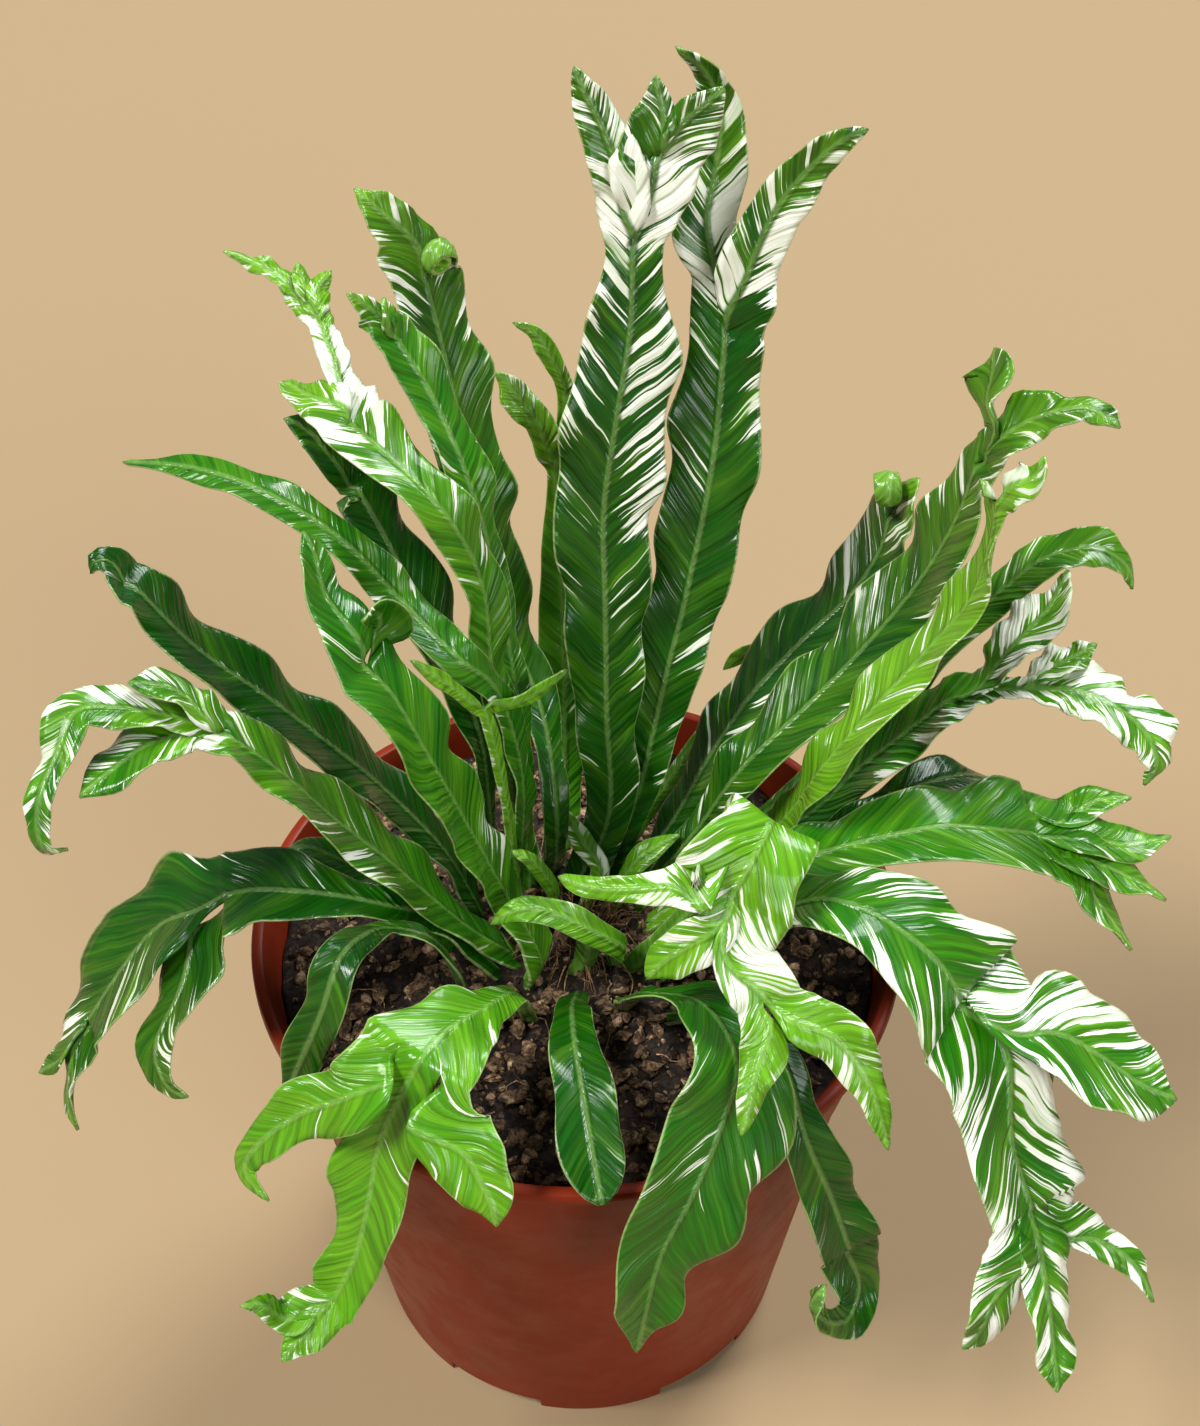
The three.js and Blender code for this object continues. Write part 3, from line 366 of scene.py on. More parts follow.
frond(
    "right_coil", at=(52, 29.5), heading=30, roll=10, green=DARK, crest=2.2,
    spine=[(14, -1, 19), (26, 0, 38), (42, 1, 58), (61, 2, 72), (78, 1, 84), (89, 2, 97),
           (92, 3, 107)],
    width=[6, 9, 13, 19, 24, 27, 26, 26], cream=[0.08, 0.15, 0.3, 0.2, 0],
    fresh=[0.1, 0.1, 0.15, 0.5, 0.9],
    lobes=[
        lobe(0.45, [(6, -2, 0), (12, -3, 3)], [12, 7, 7],
             coil(5.6, 1.5, [7, 8, 7, 6]), twist=-70),
        lobe(0.55, [(9, 2, -1), (16, 1, -2)], [14, 17, 6]),
    ])
frond(
    "right_tall", at=(31.5, 21), heading=22, roll=10, green=DARK, crest=2.4,
    spine=[(21.5, -1, 29), (33.5, -4, 53), (53.5, -4, 71), (73.5, -2, 87), (89.5, -2, 107),
           (98.5, -2, 126), (102.5, -2, 143)],
    width=[6, 9, 14, 22, 28, 30, 28, 21], cream=[0.06, 0.12, 0.14, 0.2, 0.16],
    fresh=[0.15, 0.2, 0.3, 0.45, 0.4],
    lobes=[
        lobe(0.42, [(12, -4, -2), (17, 2, -1), (24, 6, -2), (28, 13, -4)], [9, 7, 11, 18, 6]),
        lobe(0.58, [(12, 0, -3), (19, -1, -7), (25, -5, -12), (28, -8, -18), (27, -15, -25)],
             [12, 17, 17, 12, 10, 3]),
    ])
frond(
    "right_pale", at=(5, 20), heading=14, roll=5, green=LIVELY, crest=3.0,
    spine=[(42, 2.5, 30.5), (51.5, -11.5, 71.5), (66, -10, 90), (82, -6, 105), (92, -6, 120),
           (95, -6, 139), (95, -6, 152)],
    width=[6, 8, 10, 15, 20, 22, 18, 11], cream=[0.06, 0.06, 0.12, 0.75, 0.25],
    fresh=[0.8, 0.85, 0.9, 0.7, 0.9],
    lobes=[
        lobe(0.35, [(3, 1, 2), (4, 3, 4)], [4, 5, 3]),
        lobe(0.65, [(7, -1, -3), (11, -1, -8), (15, 2, -10)], [7, 12, 13, 4]),
    ])
frond(
    "right_crest", at=(25.5, 30), heading=9, roll=5, crest=2.6,
    spine=[(48.5, 1, 33), (60.5, 6, 41), (75.5, 6, 56), (87.5, 4, 70)],
    width=[6, 10, 16, 21, 25, 21], cream=[0.03, 0.08, 0.15, 0.4, 0.55, 0.45],
    fresh=[0.1, 0.15, 0.2, 0.3, 0.35, 0.5],
    lobes=[
        lobe(0.5, [(10, -3, -3), (26, 1, -3), (39, 6, -4), (48, 14, -4)], [10, 13, 18, 20, 6]),
        lobe(0.5, [(10, 2, -3), (19, 0, -8)], [10, 8, 8],
             lobe(0.35, [(12, 4, 1), (23, 10, 2)], [4, 14, 4]),
             lobe(0.65, [(15, 0, -2), (25, -4, -6), (33, -10, -13), (35, -16, -20), (31, -20, -24)],
                  [5, 17, 21, 21, 14, 4])),
    ])
frond(
    "right_hook", at=(33, 39), heading=22, crest=2,
    spine=[(68, -1, 49), (89, -1, 74), (106, -1, 89)],
    width=[6, 7, 10, 13, 15], cream=[0.05, 0.08, 0.2, 0.22], fresh=[0.3, 0.35, 0.4, 0.45],
    lobes=[
        lobe(1, [(13, -1, -1), (21, -3, -4), (28, -7, -9), (30, -13, -16), (27, -17, -21)],
             [15, 16, 16, 14, 11, 3]),
    ])
frond(
    "far_tip", at=(68, 36), heading=62,
    spine=[(25, -16, 38), (40, -25, 51), (48, -31, 58)],
    width=[5, 5, 5, 6, 6], cream=[0.05, 0.1, 0.2], fresh=[0.4, 0.7, 0.9],
    lobes=[
        lobe(1, [(-1, 5, 2), (-5, 9, 2), (-13, 10, 0)], [6, 7, 5, 2]),
    ])
frond(
    "young_pair", at=(170, 18), heading=150, green=LIVELY,
    spine=[(2, 1.5, 51.5), (3, 5, 82), (6, 5, 96)],
    width=[4, 4, 5, 5, 6], cream=[0.05, 0.05, 0.1], fresh=[0.9, 0.85, 0.85],
    lobes=[
        lobe(0.5, [(12, 6, -1), (23, 13, -2), (29, 16, -4)], [4, 4, 5, 2]),
        lobe(0.5, [(-6, -10, 1), (-9, -21, 3), (-11, -34, 4)], [4, 4, 5, 2]),
    ])
frond(
    "young_bright", at=(153, 13), heading=160, green=LIVELY,
    spine=[(-6, 4, 20), (-3, 6, 31), (0, 8, 38), (5, 9, 41)],
    width=[5, 6, 7, 7, 6, 3], cream=[0.05, 0.08, 0.1], fresh=[0.9, 0.85, 0.85])
frond(
    "young_left", at=(318.5, 13), heading=168,
    spine=[(-6, 15, 24), (3, 19, 35), (13, 20, 41), (22, 23, 44), (30, 25, 38)],
    width=[5, 6, 7, 8, 9, 8, 3], cream=[0.05, 0.1, 0.15], fresh=[0.6, 0.6, 0.7])
frond(
    "young_up", at=(78, 12.5), heading=95,
    spine=[(3, -5, 15), (7, 0, 23), (10, 5, 35)],
    width=[4, 5, 6, 7, 2], cream=[0.2, 0.35, 0.35], fresh=[0.6, 0.6, 0.6])
frond(
    "young_mid", at=(268, 14.5), heading=262,
    spine=[(1, 3, 8), (6, 5, 24), (5, 6, 34)],
    width=[5, 6, 7, 8, 4], cream=[0.05, 0.1, 0.15], fresh=[0.7, 0.6, 0.6])
frond(
    "young_right", at=(44, 14), heading=30,
    spine=[(10, -1, 19), (16, -2, 23), (23, -4, 27)],
    width=[4, 5, 7, 8, 3], cream=[0.05, 0.1, 0.15], fresh=[0.6, 0.6, 0.6])


def smooth(x):
    t = np.clip(x, 0, 1)
    return t * t * (3 - 2 * t)


def profile_at(values, s):
    """Reads a list of values as a smooth profile over 0 to 1."""
    x = s * (len(values) - 1)
    i = min(len(values) - 2, int(x))
    return values[i] + (values[i + 1] - values[i]) * smooth(x - i)


def seeded_draw(seed):
    """The one draw that gives each frond the same waves as its solid has."""
    return ((seed * 1664525 + 1013904223) % 4294967296) / 4294967296


class Course:
    """A smooth curve through points, read by its length."""

    def __init__(self, points, fineness=24):
        p = np.array([tuple(q) for q in points], float)
        t = (np.arange(fineness) / fineness)[:, None]
        pieces = []
        for i in range(len(p) - 1):
            start, end = p[i], p[i + 1]
            before = p[i - 1] if i > 0 else 2 * p[0] - p[1]
            after = p[i + 2] if i + 2 < len(p) else 2 * p[-1] - p[-2]
            d0, d1, d2 = (max(np.linalg.norm(b - a) ** 0.5, 1e-4)
                          for a, b in ((before, start), (start, end), (end, after)))
            leave = ((start - before) / d0 - (end - before) / (d0 + d1) + (end - start) / d1) * d1
            arrive = ((end - start) / d1 - (after - start) / (d1 + d2) + (after - end) / d2) * d1
            pieces.append((2 * t**3 - 3 * t**2 + 1) * start + (t**3 - 2 * t**2 + t) * leave
                          + (3 * t**2 - 2 * t**3) * end + (t**3 - t**2) * arrive)
        self.points = np.concatenate([*pieces, p[-1:]])
        steps = np.linalg.norm(np.diff(self.points, axis=0), axis=1)
        self.run = np.concatenate([[0], np.cumsum(steps)])
        self.length = self.run[-1]

    def at(self, s):
        d = s * self.length
        return np.array([np.interp(d, self.run, self.points[:, k]) for k in range(3)])

    def heading(self, s):
        v = self.at(min(1, s + 2e-3)) - self.at(max(0, s - 2e-3))
        return v / np.linalg.norm(v)


class Stance:
    """A moving frame along a blade: forward, to the right of it, and up from its upper face."""

    def __init__(self, forward, right):
        self.forward = forward / np.linalg.norm(forward)
        right = right - self.forward * (right @ self.forward)
        self.right = right / np.linalg.norm(right)
        self.up = np.cross(self.right, self.forward)

    def bent_to(self, forward):
        hinge = np.cross(self.forward, forward)
        size = np.linalg.norm(hinge)
        if size < 1e-9:
            return Stance(forward, self.right)
        hinge /= size
        angle = math.atan2(size, self.forward @ forward)
        r = self.right
        turned = (r * math.cos(angle) + np.cross(hinge, r) * math.sin(angle)
                  + hinge * (hinge @ r) * (1 - math.cos(angle)))
        return Stance(forward, turned)

    def rolled(self, degrees):
        a = math.radians(-degrees)
        across = np.cross(self.forward, self.right)
        return Stance(self.forward, self.right * math.cos(a) + across * math.sin(a))

    def place(self, origin, point):
        ahead, left, lift = point
        return origin + self.forward * ahead - self.right * left + self.up * lift


class Blade:
    """The middle sheet of a frond, row by row, with what the material reads at each point."""

    def __init__(self):
        self.quads = []
        self.layers = {name: [] for name in ("point", "half", "run", "off", "edge", "reach")}

    def add_row(self, near, **layers):
        """Adds a row of points, joined to the row near it where there is one."""
        size, first = len(layers["point"]), len(self.layers["point"])
        for name, values in layers.items():
            self.layers[name].extend([values] * size if np.isscalar(values) else values)
        far = list(range(first, first + size))
        if near:
            self.quads += [(near[c], near[c + 1], far[c + 1], far[c]) for c in range(size - 1)]
        return far


def rounded_tip(x):
    """The share of its width that a blade keeps this far, in tip lengths, before its end."""
    return math.sqrt(max(0.02, 1 - max(0.0, 1 - x) ** 2))


def lay_strip(blade, course, stance, width, phase, columns=0, root=None, roll=0, step=ROW_STEP,
              start_run=0, reach=(0, 1), frill=1.0, last=False, coiled=False):
    """Lays one strip of blade along a course. A lobe's strip has a root, its share of the row
    before the fork, and eases from the shape and marks of that row into its own."""
    rows = max(3, round(course.length / step))
    v = np.linspace(-1, 1, len(root) if root else columns + 1)
    edge = np.abs(v)
    side = np.where(v > 0, MARGIN_SHIFT, 0.0)
    if root:
        parent, parent_off, parent_edge, parent_half = (
            np.array([blade.layers[name][i] for i in root])
            for name in ("point", "off", "edge", "half"))
        middle = (parent[0] + parent[-1]) / 2
        shape_blend = SHAPE_BLEND * width[0]
        marks_blend = MARKS_BLEND * width[0] + 4
    row = root
    for j in range(1 if root else 0, rows + 1):
        s = j / rows
        travelled = s * course.length
        centre = course.at(s)
        stance = stance.bent_to(course.heading(s))
        rolled = stance.rolled(roll * smooth(s))
        half_width = profile_at(width, s) / 2
        if last:
            half_width *= rounded_tip((1 - s) * course.length / (TIP_LENGTH * width[-1] + 1.5))

        # Long waves as the solid has them, and a finer frill of the margin. The frill adds sines
        # whose lengths and starts are out of step, so that it doesn't seem to repeat.
        ripple = np.sin(TURN * travelled / WAVE_LENGTH + phase + side)
        calm = smooth(half_width / CALM_WIDTH) * edge * edge
        along = TURN * (travelled + start_run) / FRILL_LENGTH
        ruff = (np.sin(along + 1.7 * phase + 1.9 * side)
                + 0.5 * np.sin(0.62 * along + 2.6 * phase + side))
        if frill > 1:
            ruff = ruff + (frill - 1) * 0.4 * np.sin(2.4 * along + 3.1 * phase + 2.6 * side)
        lace = frill * smooth(half_width / (7 if frill == 1 else 4)) * edge**3
        ragged = max(0.0, 0.02 * frill - 0.002)
        across = v * half_width * (1 + WAVE_SPREAD * ripple * calm + ragged * ruff * edge**3)
        lift = (CHANNEL * edge * half_width + WAVE_HEIGHT * ripple * calm
                + FRILL_HEIGHT * ruff * lace)
        points = centre + np.outer(across, rolled.right) + np.outer(lift, rolled.up)

        half = np.full(len(v), BLADE_HALF)
        if not root:
            stalk = 1 - smooth((travelled - ROOT_DEPTH) / STALK_FADE)
            half = half + (STALK_HALF - BLADE_HALF) * stalk * (1.6 - 0.6 * edge)
        if coiled:
            half = half + COIL_FLESH * smooth(travelled / COIL_SWELL)
        rib = RIB_HEIGHT * np.exp(-((across / RIB_WIDTH) ** 2)) * smooth(half_width / 5)
        half = half * (1 - MARGIN_THINNING * edge**6) + rib

        off, own_edge = across, edge
        if root:
            b = smooth(travelled / marks_blend)
            off, own_edge, half = (
                (1 - b) * old + b * new
                for old, new in ((parent_off, across), (parent_edge, edge), (parent_half, half)))
            if travelled < shape_blend:
                b = smooth(travelled / shape_blend)
                points = (parent + centre - middle) * (1 - b) + points * b
        row = blade.add_row(row, point=points, half=half, run=travelled + start_run, off=off,
                            edge=own_edge, reach=reach[0] + (reach[1] - reach[0]) * s)
    return row, stance.rolled(roll), course.at(1), start_run + course.length


def grow_lobes(blade, lobes, width, strip, phase, reach_from, crest):
    """Splits a strip's last row between its lobes, from left to right, and grows each of them."""
    row, stance, end, run = strip
    columns = len(row) - 1
    taken, share_before = 0, 0
    for k, plan in enumerate(lobes):
        share, own_lobes, coiled = plan["share"], plan["lobes"], plan["coiled"]
        after = len(lobes) - 1 - k
        wanted = math.floor((share_before + share) * columns + 0.5)
        up_to = min(columns - after, max(taken + 1, wanted)) if after else columns
        offset = (share_before + share / 2 - 0.5) * width
        origin = stance.place(end, (0, -offset, 0))
        course = Course([origin, *(stance.place(origin, p) for p in plan["path"])])
        reach_to = reach_from + (2 - reach_from) * (0.5 if own_lobes else 1)
        plain = coiled or (own_lobes and own_lobes[0]["coiled"])
        tip = lay_strip(blade, course, stance.bent_to(course.heading(0)), plan["width"], phase + k,
                        root=row[taken:up_to + 1], roll=plan["twist"],
                        step=COIL_STEP if coiled else LOBE_STEP, start_run=run,
                        reach=(2, 2) if coiled else (reach_from, reach_to),
                        frill=0 if plain else crest, last=not own_lobes, coiled=coiled)
        if own_lobes:
            grow_lobes(blade, own_lobes, plan["width"][-1], tip, phase + k + 1, reach_to,
                       1.2 * crest)
        taken = up_to
        share_before += share


def frond_blade(plan, seed):
    """The fine sheet of one frond, from its foot in the soil to its tips."""
    angle, radius = plan["at"]
    bearing, course_angle = math.radians(angle), math.radians(plan["heading"])
    base = np.array([radius * math.cos(bearing), radius * math.sin(bearing), SOIL_LEVEL])
    outward = np.array([math.cos(course_angle), math.sin(course_angle), 0])
    leftward = np.array([-math.sin(course_angle), math.cos(course_angle), 0])
    above = [base + outward * out + leftward * left + np.array([0, 0, up])
             for out, left, up in plan["spine"]]
    rise = (above[0] - base) / np.linalg.norm(above[0] - base)
    course = Course([base - rise * ROOT_DEPTH, base, *above])
    phase = seeded_draw(seed) * TURN
    width, lobes = plan["width"], plan["lobes"]
    blade = Blade()
    strip = lay_strip(blade, course, Stance(course.heading(0), -leftward), width, phase,
                      columns=COLUMNS if width[2] > 8 or lobes else NARROW_COLUMNS,
                      roll=plan["roll"], last=not lobes)
    if lobes:
        grow_lobes(blade, lobes, width[-1], strip, phase + 1, 1, plan["crest"])
    return blade


def sheet_normals(points, quads):
    sums = np.zeros_like(points)
    a, b, c, d = (points[quads[:, k]] for k in range(4))
    area = np.cross(c - a, d - b)
    for k in range(4):
        np.add.at(sums, quads[:, k], area)
    return sums / np.maximum(np.linalg.norm(sums, axis=1), 1e-12)[:, None]


def blade_object(name, blade, plan):
    """Thickens a sheet into a closed blade and stores on its points what its material reads."""
    middle = np.array(blade.layers["point"])
    quads = np.array(blade.quads)
    normals = sheet_normals(middle, quads)
    if normals[:, 2].mean() < 0:
        quads = quads[:, ::-1]
        normals = -normals
    half = np.array(blade.layers["half"])[:, None]
    count = len(middle)
    points = np.concatenate([middle + normals * half, middle - normals * half])
    faces = [tuple(q) for q in quads.tolist()]
    faces += [tuple(i + count for i in reversed(q)) for q in faces]
    sides = {(q[k], q[(k + 1) % 4]) for q in quads.tolist() for k in range(4)}
    for a, b in sides:
        if (b, a) not in sides:
            faces.append((b, a, a + count, b + count))
    obj = new_object(name, points, faces)
    for layer in ("run", "off", "edge"):
        store(obj, layer, blade.layers[layer] * 2)
    for layer in ("cream", "fresh"):
        reach = blade.layers["reach"]
        store(obj, layer, [profile_at(plan[layer], min(r / 2, 1)) for r in reach] * 2)
    store(obj, "under", [0] * count + [1] * count)
    return obj


def new_object(name, points, faces, flat=False):
    """A mesh object from points in millimetres round the pot's axis."""
    mesh = bpy.data.meshes.new(name)
    metres = np.array(points) * MM + np.array(AXIS)
    mesh.from_pydata(metres.tolist(), [], faces)
    mesh.polygons.foreach_set("use_smooth", [not flat] * len(mesh.polygons))
    mesh.update()
    return add_object(name, mesh)


def add_object(name, data):
    obj = bpy.data.objects.new(name, data)
    bpy.context.scene.collection.objects.link(obj)
    return obj


def store(obj, name, values):
    """Keeps one number for each point, for the material to read."""
    layer = obj.data.attributes.new(name, "FLOAT", "POINT")
    layer.data.foreach_set("value", np.asarray(values, dtype=np.float32))


# Materials


class Wiring:
    """Short calls for making and joining shader nodes in one tree."""

    def __init__(self, tree):
        self.tree = tree

    def feed(self, socket, value):
        if isinstance(value, bpy.types.NodeSocket):
            self.tree.links.new(value, socket)
        else:
            socket.default_value = value

    def node(self, kind, feeds=None, **settings):
        """A new node with its settings, and its inputs fed by number or name."""
        made = self.tree.nodes.new(kind)
        for key, value in settings.items():
            setattr(made, key, value)
        for key, value in (feeds or {}).items():
            self.feed(made.inputs[key], value)
        return made.outputs

    def maths(self, operation, *values):
        return self.node("ShaderNodeMath", dict(enumerate(values)), operation=operation)[0]

    def plus(self, a, b):
        return self.maths("ADD", a, b)

    def minus(self, a, b):
        return self.maths("SUBTRACT", a, b)

    def times(self, a, b, plus=None):
        """a times b, plus a third value where one is given."""
        if plus is None:
            return self.maths("MULTIPLY", a, b)
        return self.maths("MULTIPLY_ADD", a, b, plus)

    def swing(self, fac, amount):
        """How far a noise is from its middle, made larger."""
        return self.times(self.minus(fac, 0.5), amount)

    def ramp(self, *values):
        """A smooth step of a value between two limits, from 0 to 1 or from and to two values."""
        return self.node("ShaderNodeMapRange", dict(enumerate(values)),
                         interpolation_type="SMOOTHSTEP")[0]

    def blend(self, amount, a, b, mode="MIX"):
        return self.node("ShaderNodeMix", {0: amount, 6: a, 7: b}, data_type="RGBA",
                         blend_type=mode)[2]

    def darken(self, colour, shade):
        return self.blend(1.0, colour, self.vector(shade, shade, shade), "MULTIPLY")

    def vector(self, *values):
        return self.node("ShaderNodeCombineXYZ", dict(enumerate(values)))[0]

    def noise(self, vector, scale=1.0, detail=2.0, roughness=0.5):
        return self.node("ShaderNodeTexNoise", dict(Vector=vector, Scale=scale, Detail=detail,
                                                    Roughness=roughness))["Fac"]

    def bump(self, height, strength, distance):
        return self.node("ShaderNodeBump", dict(Strength=strength, Distance=distance,
                                                Height=height))["Normal"]

    def layer(self, name):
        return self.node("ShaderNodeAttribute", attribute_name=name)["Fac"]

    def place(self):
        return self.node("ShaderNodeTexCoord")["Object"]

    def group(self, group, **values):
        return self.node("ShaderNodeGroup", values, node_tree=group)


def new_group(name, inputs, outputs):
    """A node group with named sockets; returns it with its wiring and its two ends."""
    group = bpy.data.node_groups.new(name, "ShaderNodeTree")
    for label, kind, value in inputs:
        socket = group.interface.new_socket(name=label, in_out="INPUT", socket_type=kind)
        socket.default_value = value
    for label, kind in outputs:
        group.interface.new_socket(name=label, in_out="OUTPUT", socket_type=kind)
    wiring = Wiring(group)
    end = group.nodes.new("NodeGroupOutput")
    return group, wiring, wiring.node("NodeGroupInput"), end.inputs


def leaf_markings():
    """Cream streaks along the side veins, the midrib, pale margins, and the relief of a blade."""
    group, w, given, out = new_group("leaf_markings", [
        ("Green", "NodeSocketColor", MIDDLE),
        ("Fresh Green", "NodeSocketColor", (0.135, 0.35, 0.01, 1)),
        ("Cream", "NodeSocketColor", (0.85, 0.87, 0.77, 1)),
        ("Vein Lean", "NodeSocketFloat", 1.15),
        ("Seed", "NodeSocketFloat", 0.0),
    ], [("Color", "NodeSocketColor"), ("Roughness", "NodeSocketFloat"),
        ("Height", "NodeSocketFloat")])
    rib_green, margin_green = (0.3, 0.5, 0.14, 1), (0.42, 0.52, 0.2, 1)
    under_green = (0.22, 0.36, 0.14, 1)
    run, off, edge = w.layer("run"), w.layer("off"), w.layer("edge")
    cream, fresh, under = w.layer("cream"), w.layer("fresh"), w.layer("under")
    seed = given["Seed"]

    # Along a side vein this number stays the same, and it grows from vein to vein
    away = w.maths("ABSOLUTE", off)
    wander = w.noise(w.vector(w.times(run, 0.035), w.times(off, 0.08), seed))
    vein = w.plus(w.minus(run, w.times(away, given["Vein Lean"])), w.swing(wander, 5.0))
    side = w.times(w.maths("SIGN", off), 40.0, w.times(seed, 3.1))

    def drawn_out(along, rate, drift, depth, detail=2.0, roughness=0.5):
        """Noise that changes fast along and slowly across, apart on each side of the midrib."""
        place = w.vector(w.times(along, rate), w.times(off, drift, side), depth)
        return w.noise(place, 1.0, detail, roughness)

    # Streaks lie where their noise passes a limit, which falls as more cream is wanted
    broad = drawn_out(vein, 0.26, 0.015, seed, 2.5, 0.55)
    thin = drawn_out(vein, 0.85, 0.04, 5.0)
    patch = drawn_out(run, 0.03, 0.05, 9.0, 1.0)
    streak = w.plus(w.times(broad, 0.68), w.times(thin, 0.32))
    want = w.times(w.minus(edge, 0.55), 0.22, w.plus(cream, w.swing(patch, 0.9)))
    above = w.minus(streak, w.times(want, -0.36, 0.672))
    clear = w.ramp(away, 0.5, 1.9)
    pale = w.times(w.ramp(above, -0.006, 0.012), w.times(clear, w.ramp(cream, 0.0, 0.06)))
    halo = w.times(w.ramp(above, -0.06, 0.0), clear)

    # Green from deep to fresh, and cream that is milky green in places
    tint = drawn_out(vein, 0.12, 0.02, 13.0, 3.0, 0.6)
    yellow = w.ramp(w.times(halo, 0.16, w.plus(fresh, w.swing(tint, 1.3))), 0.0, 1.0)
    # The green is made lighter and darker in streaks along the side veins. This is partly its own
    # tone and partly painted light and shade of the quilted relief between the veins.
    shade = w.ramp(drawn_out(vein, 0.5, 0.05, 17.0), 0.3, 0.7, 0.72, 1.25)
    green = w.darken(w.blend(yellow, given["Green"], given["Fresh Green"]), shade)
    half_green = w.blend(0.5, given["Cream"], given["Fresh Green"])
    milky = w.blend(w.ramp(tint, 0.42, 0.75), given["Cream"], half_green)
    colour = w.blend(pale, green, milky)

    # Midrib, margin and under face
    rib = w.times(w.ramp(away, 1.3, 0.35), 0.6)
    colour = w.blend(rib, colour, w.blend(0.45, green, rib_green))
    colour = w.blend(w.times(w.ramp(edge, 0.955, 0.995), 0.55), colour, margin_green)
    colour = w.blend(w.times(under, 0.35), colour, w.blend(0.5, colour, under_green))
    w.feed(out["Color"], colour)
    w.feed(out["Roughness"], w.ramp(patch, 0.3, 0.7, 0.17, 0.3))
    ridge = w.times(w.ramp(away, 1.6, 0.3), 0.8)
    quilt = w.times(drawn_out(vein, 0.3, 0.03, 23.0, 1.0), 2.6)
    w.feed(out["Height"], w.plus(ridge, w.plus(quilt, w.times(thin, 0.8))))
    return group


def speckle():
    """Grains and lumps of two sizes, for soil, bark and moulded plastic."""
    group, w, given, out = new_group("speckle", [
        ("Grain", "NodeSocketFloat", 1.0),
        ("Lumps", "NodeSocketFloat", 1.0),
    ], [("Grain", "NodeSocketFloat"), ("Lumps", "NodeSocketFloat")])
    at = w.place()
    for label, scale in (("Grain", 1000.0), ("Lumps", 100.0)):
        w.feed(out[label], w.noise(at, w.times(given[label], scale), 3.0, 0.6))
    return group


MARKING = leaf_markings()
SPECKLE = speckle()


def new_material(name, **uniform):
    """A material with its wiring and its Principled shader, whose plain values are set on it."""
    material = bpy.data.materials.new(name)
    material.use_nodes = True
    shader = material.node_tree.nodes["Principled BSDF"]
    for label, value in uniform.items():
        shader.inputs[label.replace("_", " ")].default_value = value
    return material, Wiring(material.node_tree), shader.inputs


def leaf_material(name, seed, green):
    material, w, shader = new_material(f"leaf_{name}", Specular_IOR_Level=0.36, Coat_Weight=0.16,
                                       Coat_Roughness=0.1)
    marks = w.group(MARKING, Green=green, Seed=seed)
    w.feed(shader["Base Color"], marks["Color"])
    w.feed(shader["Roughness"], marks["Roughness"])
    w.feed(shader["Normal"], w.bump(marks["Height"], 0.7, 0.0008))
    return material


def dress_fronds():
    for k, (name, plan) in enumerate(FRONDS.items()):
        obj = blade_object(f"{name}_blade", frond_blade(plan, 100 + k), plan)
        obj.data.materials.append(leaf_material(name, k * 1.7, plan["green"]))
        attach(obj, "root")
        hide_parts(f"frond_{name}")


# Pot


def pot_profile():
    """Outer wall upwards, over the rim, down the inner wall to the middle of the floor."""
    rim, top, step = RIM_RADIUS, POT_HEIGHT, POT_HEIGHT - COLLAR_DROP
    foot, waist = FOOT_RADIUS - WALL, COLLAR_FOOT - STEP_IN
    return [
        (0, FLOOR_HEIGHT), (foot, FLOOR_HEIGHT), (foot - 0.2, 0.25), (foot + 0.1, 0),
        (FOOT_RADIUS - 0.3, 0), (FOOT_RADIUS, 0.3),
        (waist - 0.1, step - 2), (waist + 0.15, step - 1.5),
        (COLLAR_FOOT - 0.25, step - 0.2), (COLLAR_FOOT, step + 0.4),
        (COLLAR_TOP - 0.2, top - 5.2), (COLLAR_TOP + 0.3, top - 4.6),
        (rim - 1, top - 4.5), (rim - 0.3, top - 4.2), (rim, top - 3.6), (rim, top - 1.2),
        (rim - 0.35, top - 0.35), (rim - 1.1, top), (rim - 2.9, top), (rim - 3.5, top - 0.3),
        (rim - 3.9, top - 1), (COLLAR_TOP - WALL, top - 6.5), (COLLAR_FOOT - WALL, step + 0.5),
        (waist - WALL, step - 2), (foot + 0.4, FLOOR_HEIGHT + WALL), (0, FLOOR_HEIGHT + WALL),
    ]


def ring(radius, sides, turn=0.0, middle=(0, 0)):
    """Points evenly round a circle, started this share of a step further on."""
    angles = (TURN * (k + turn) / sides for k in range(sides))
    return [(middle[0] + radius * math.cos(a), middle[1] + radius * math.sin(a)) for a in angles]


def ring_faces(sides, rings, last=None, flip=False):
    """Faces from point 0 over rings of points, and to a last point where there is one."""
    top = 1 + (rings - 1) * sides
    faces = []
    for k in range(sides):
        n = (k + 1) % sides
        faces.append((0, 1 + n, 1 + k))
        faces += [(a + k, a + n, a + sides + n, a + sides + k) for a in range(1, top, sides)]
        if last:
            faces.append((last, top + k, top + n))
    return [(f[0], *f[:0:-1]) for f in faces] if flip else faces


def lathe(profile, sides):
    """Points and faces of a closed turned body whose profile starts and ends on the axis."""
    points = [(0, 0, profile[0][1])]
    for r, z in profile[1:-1]:
        points += [(x, y, z) for x, y in ring(r, sides)]
    points.append((0, 0, profile[-1][1]))
    return points, ring_faces(sides, len(profile) - 2, last=len(points) - 1)


def prism(outline, low, high):
    """A closed upright body between two heights."""
    count = len(outline)
    points = [(x, y, z) for z in (low, high) for x, y in outline]
    faces = [tuple(reversed(range(count))), tuple(range(count, 2 * count))]
    for j in range(count):
        n = (j + 1) % count
        faces.append((j, n, count + n, count + j))
    return points, faces


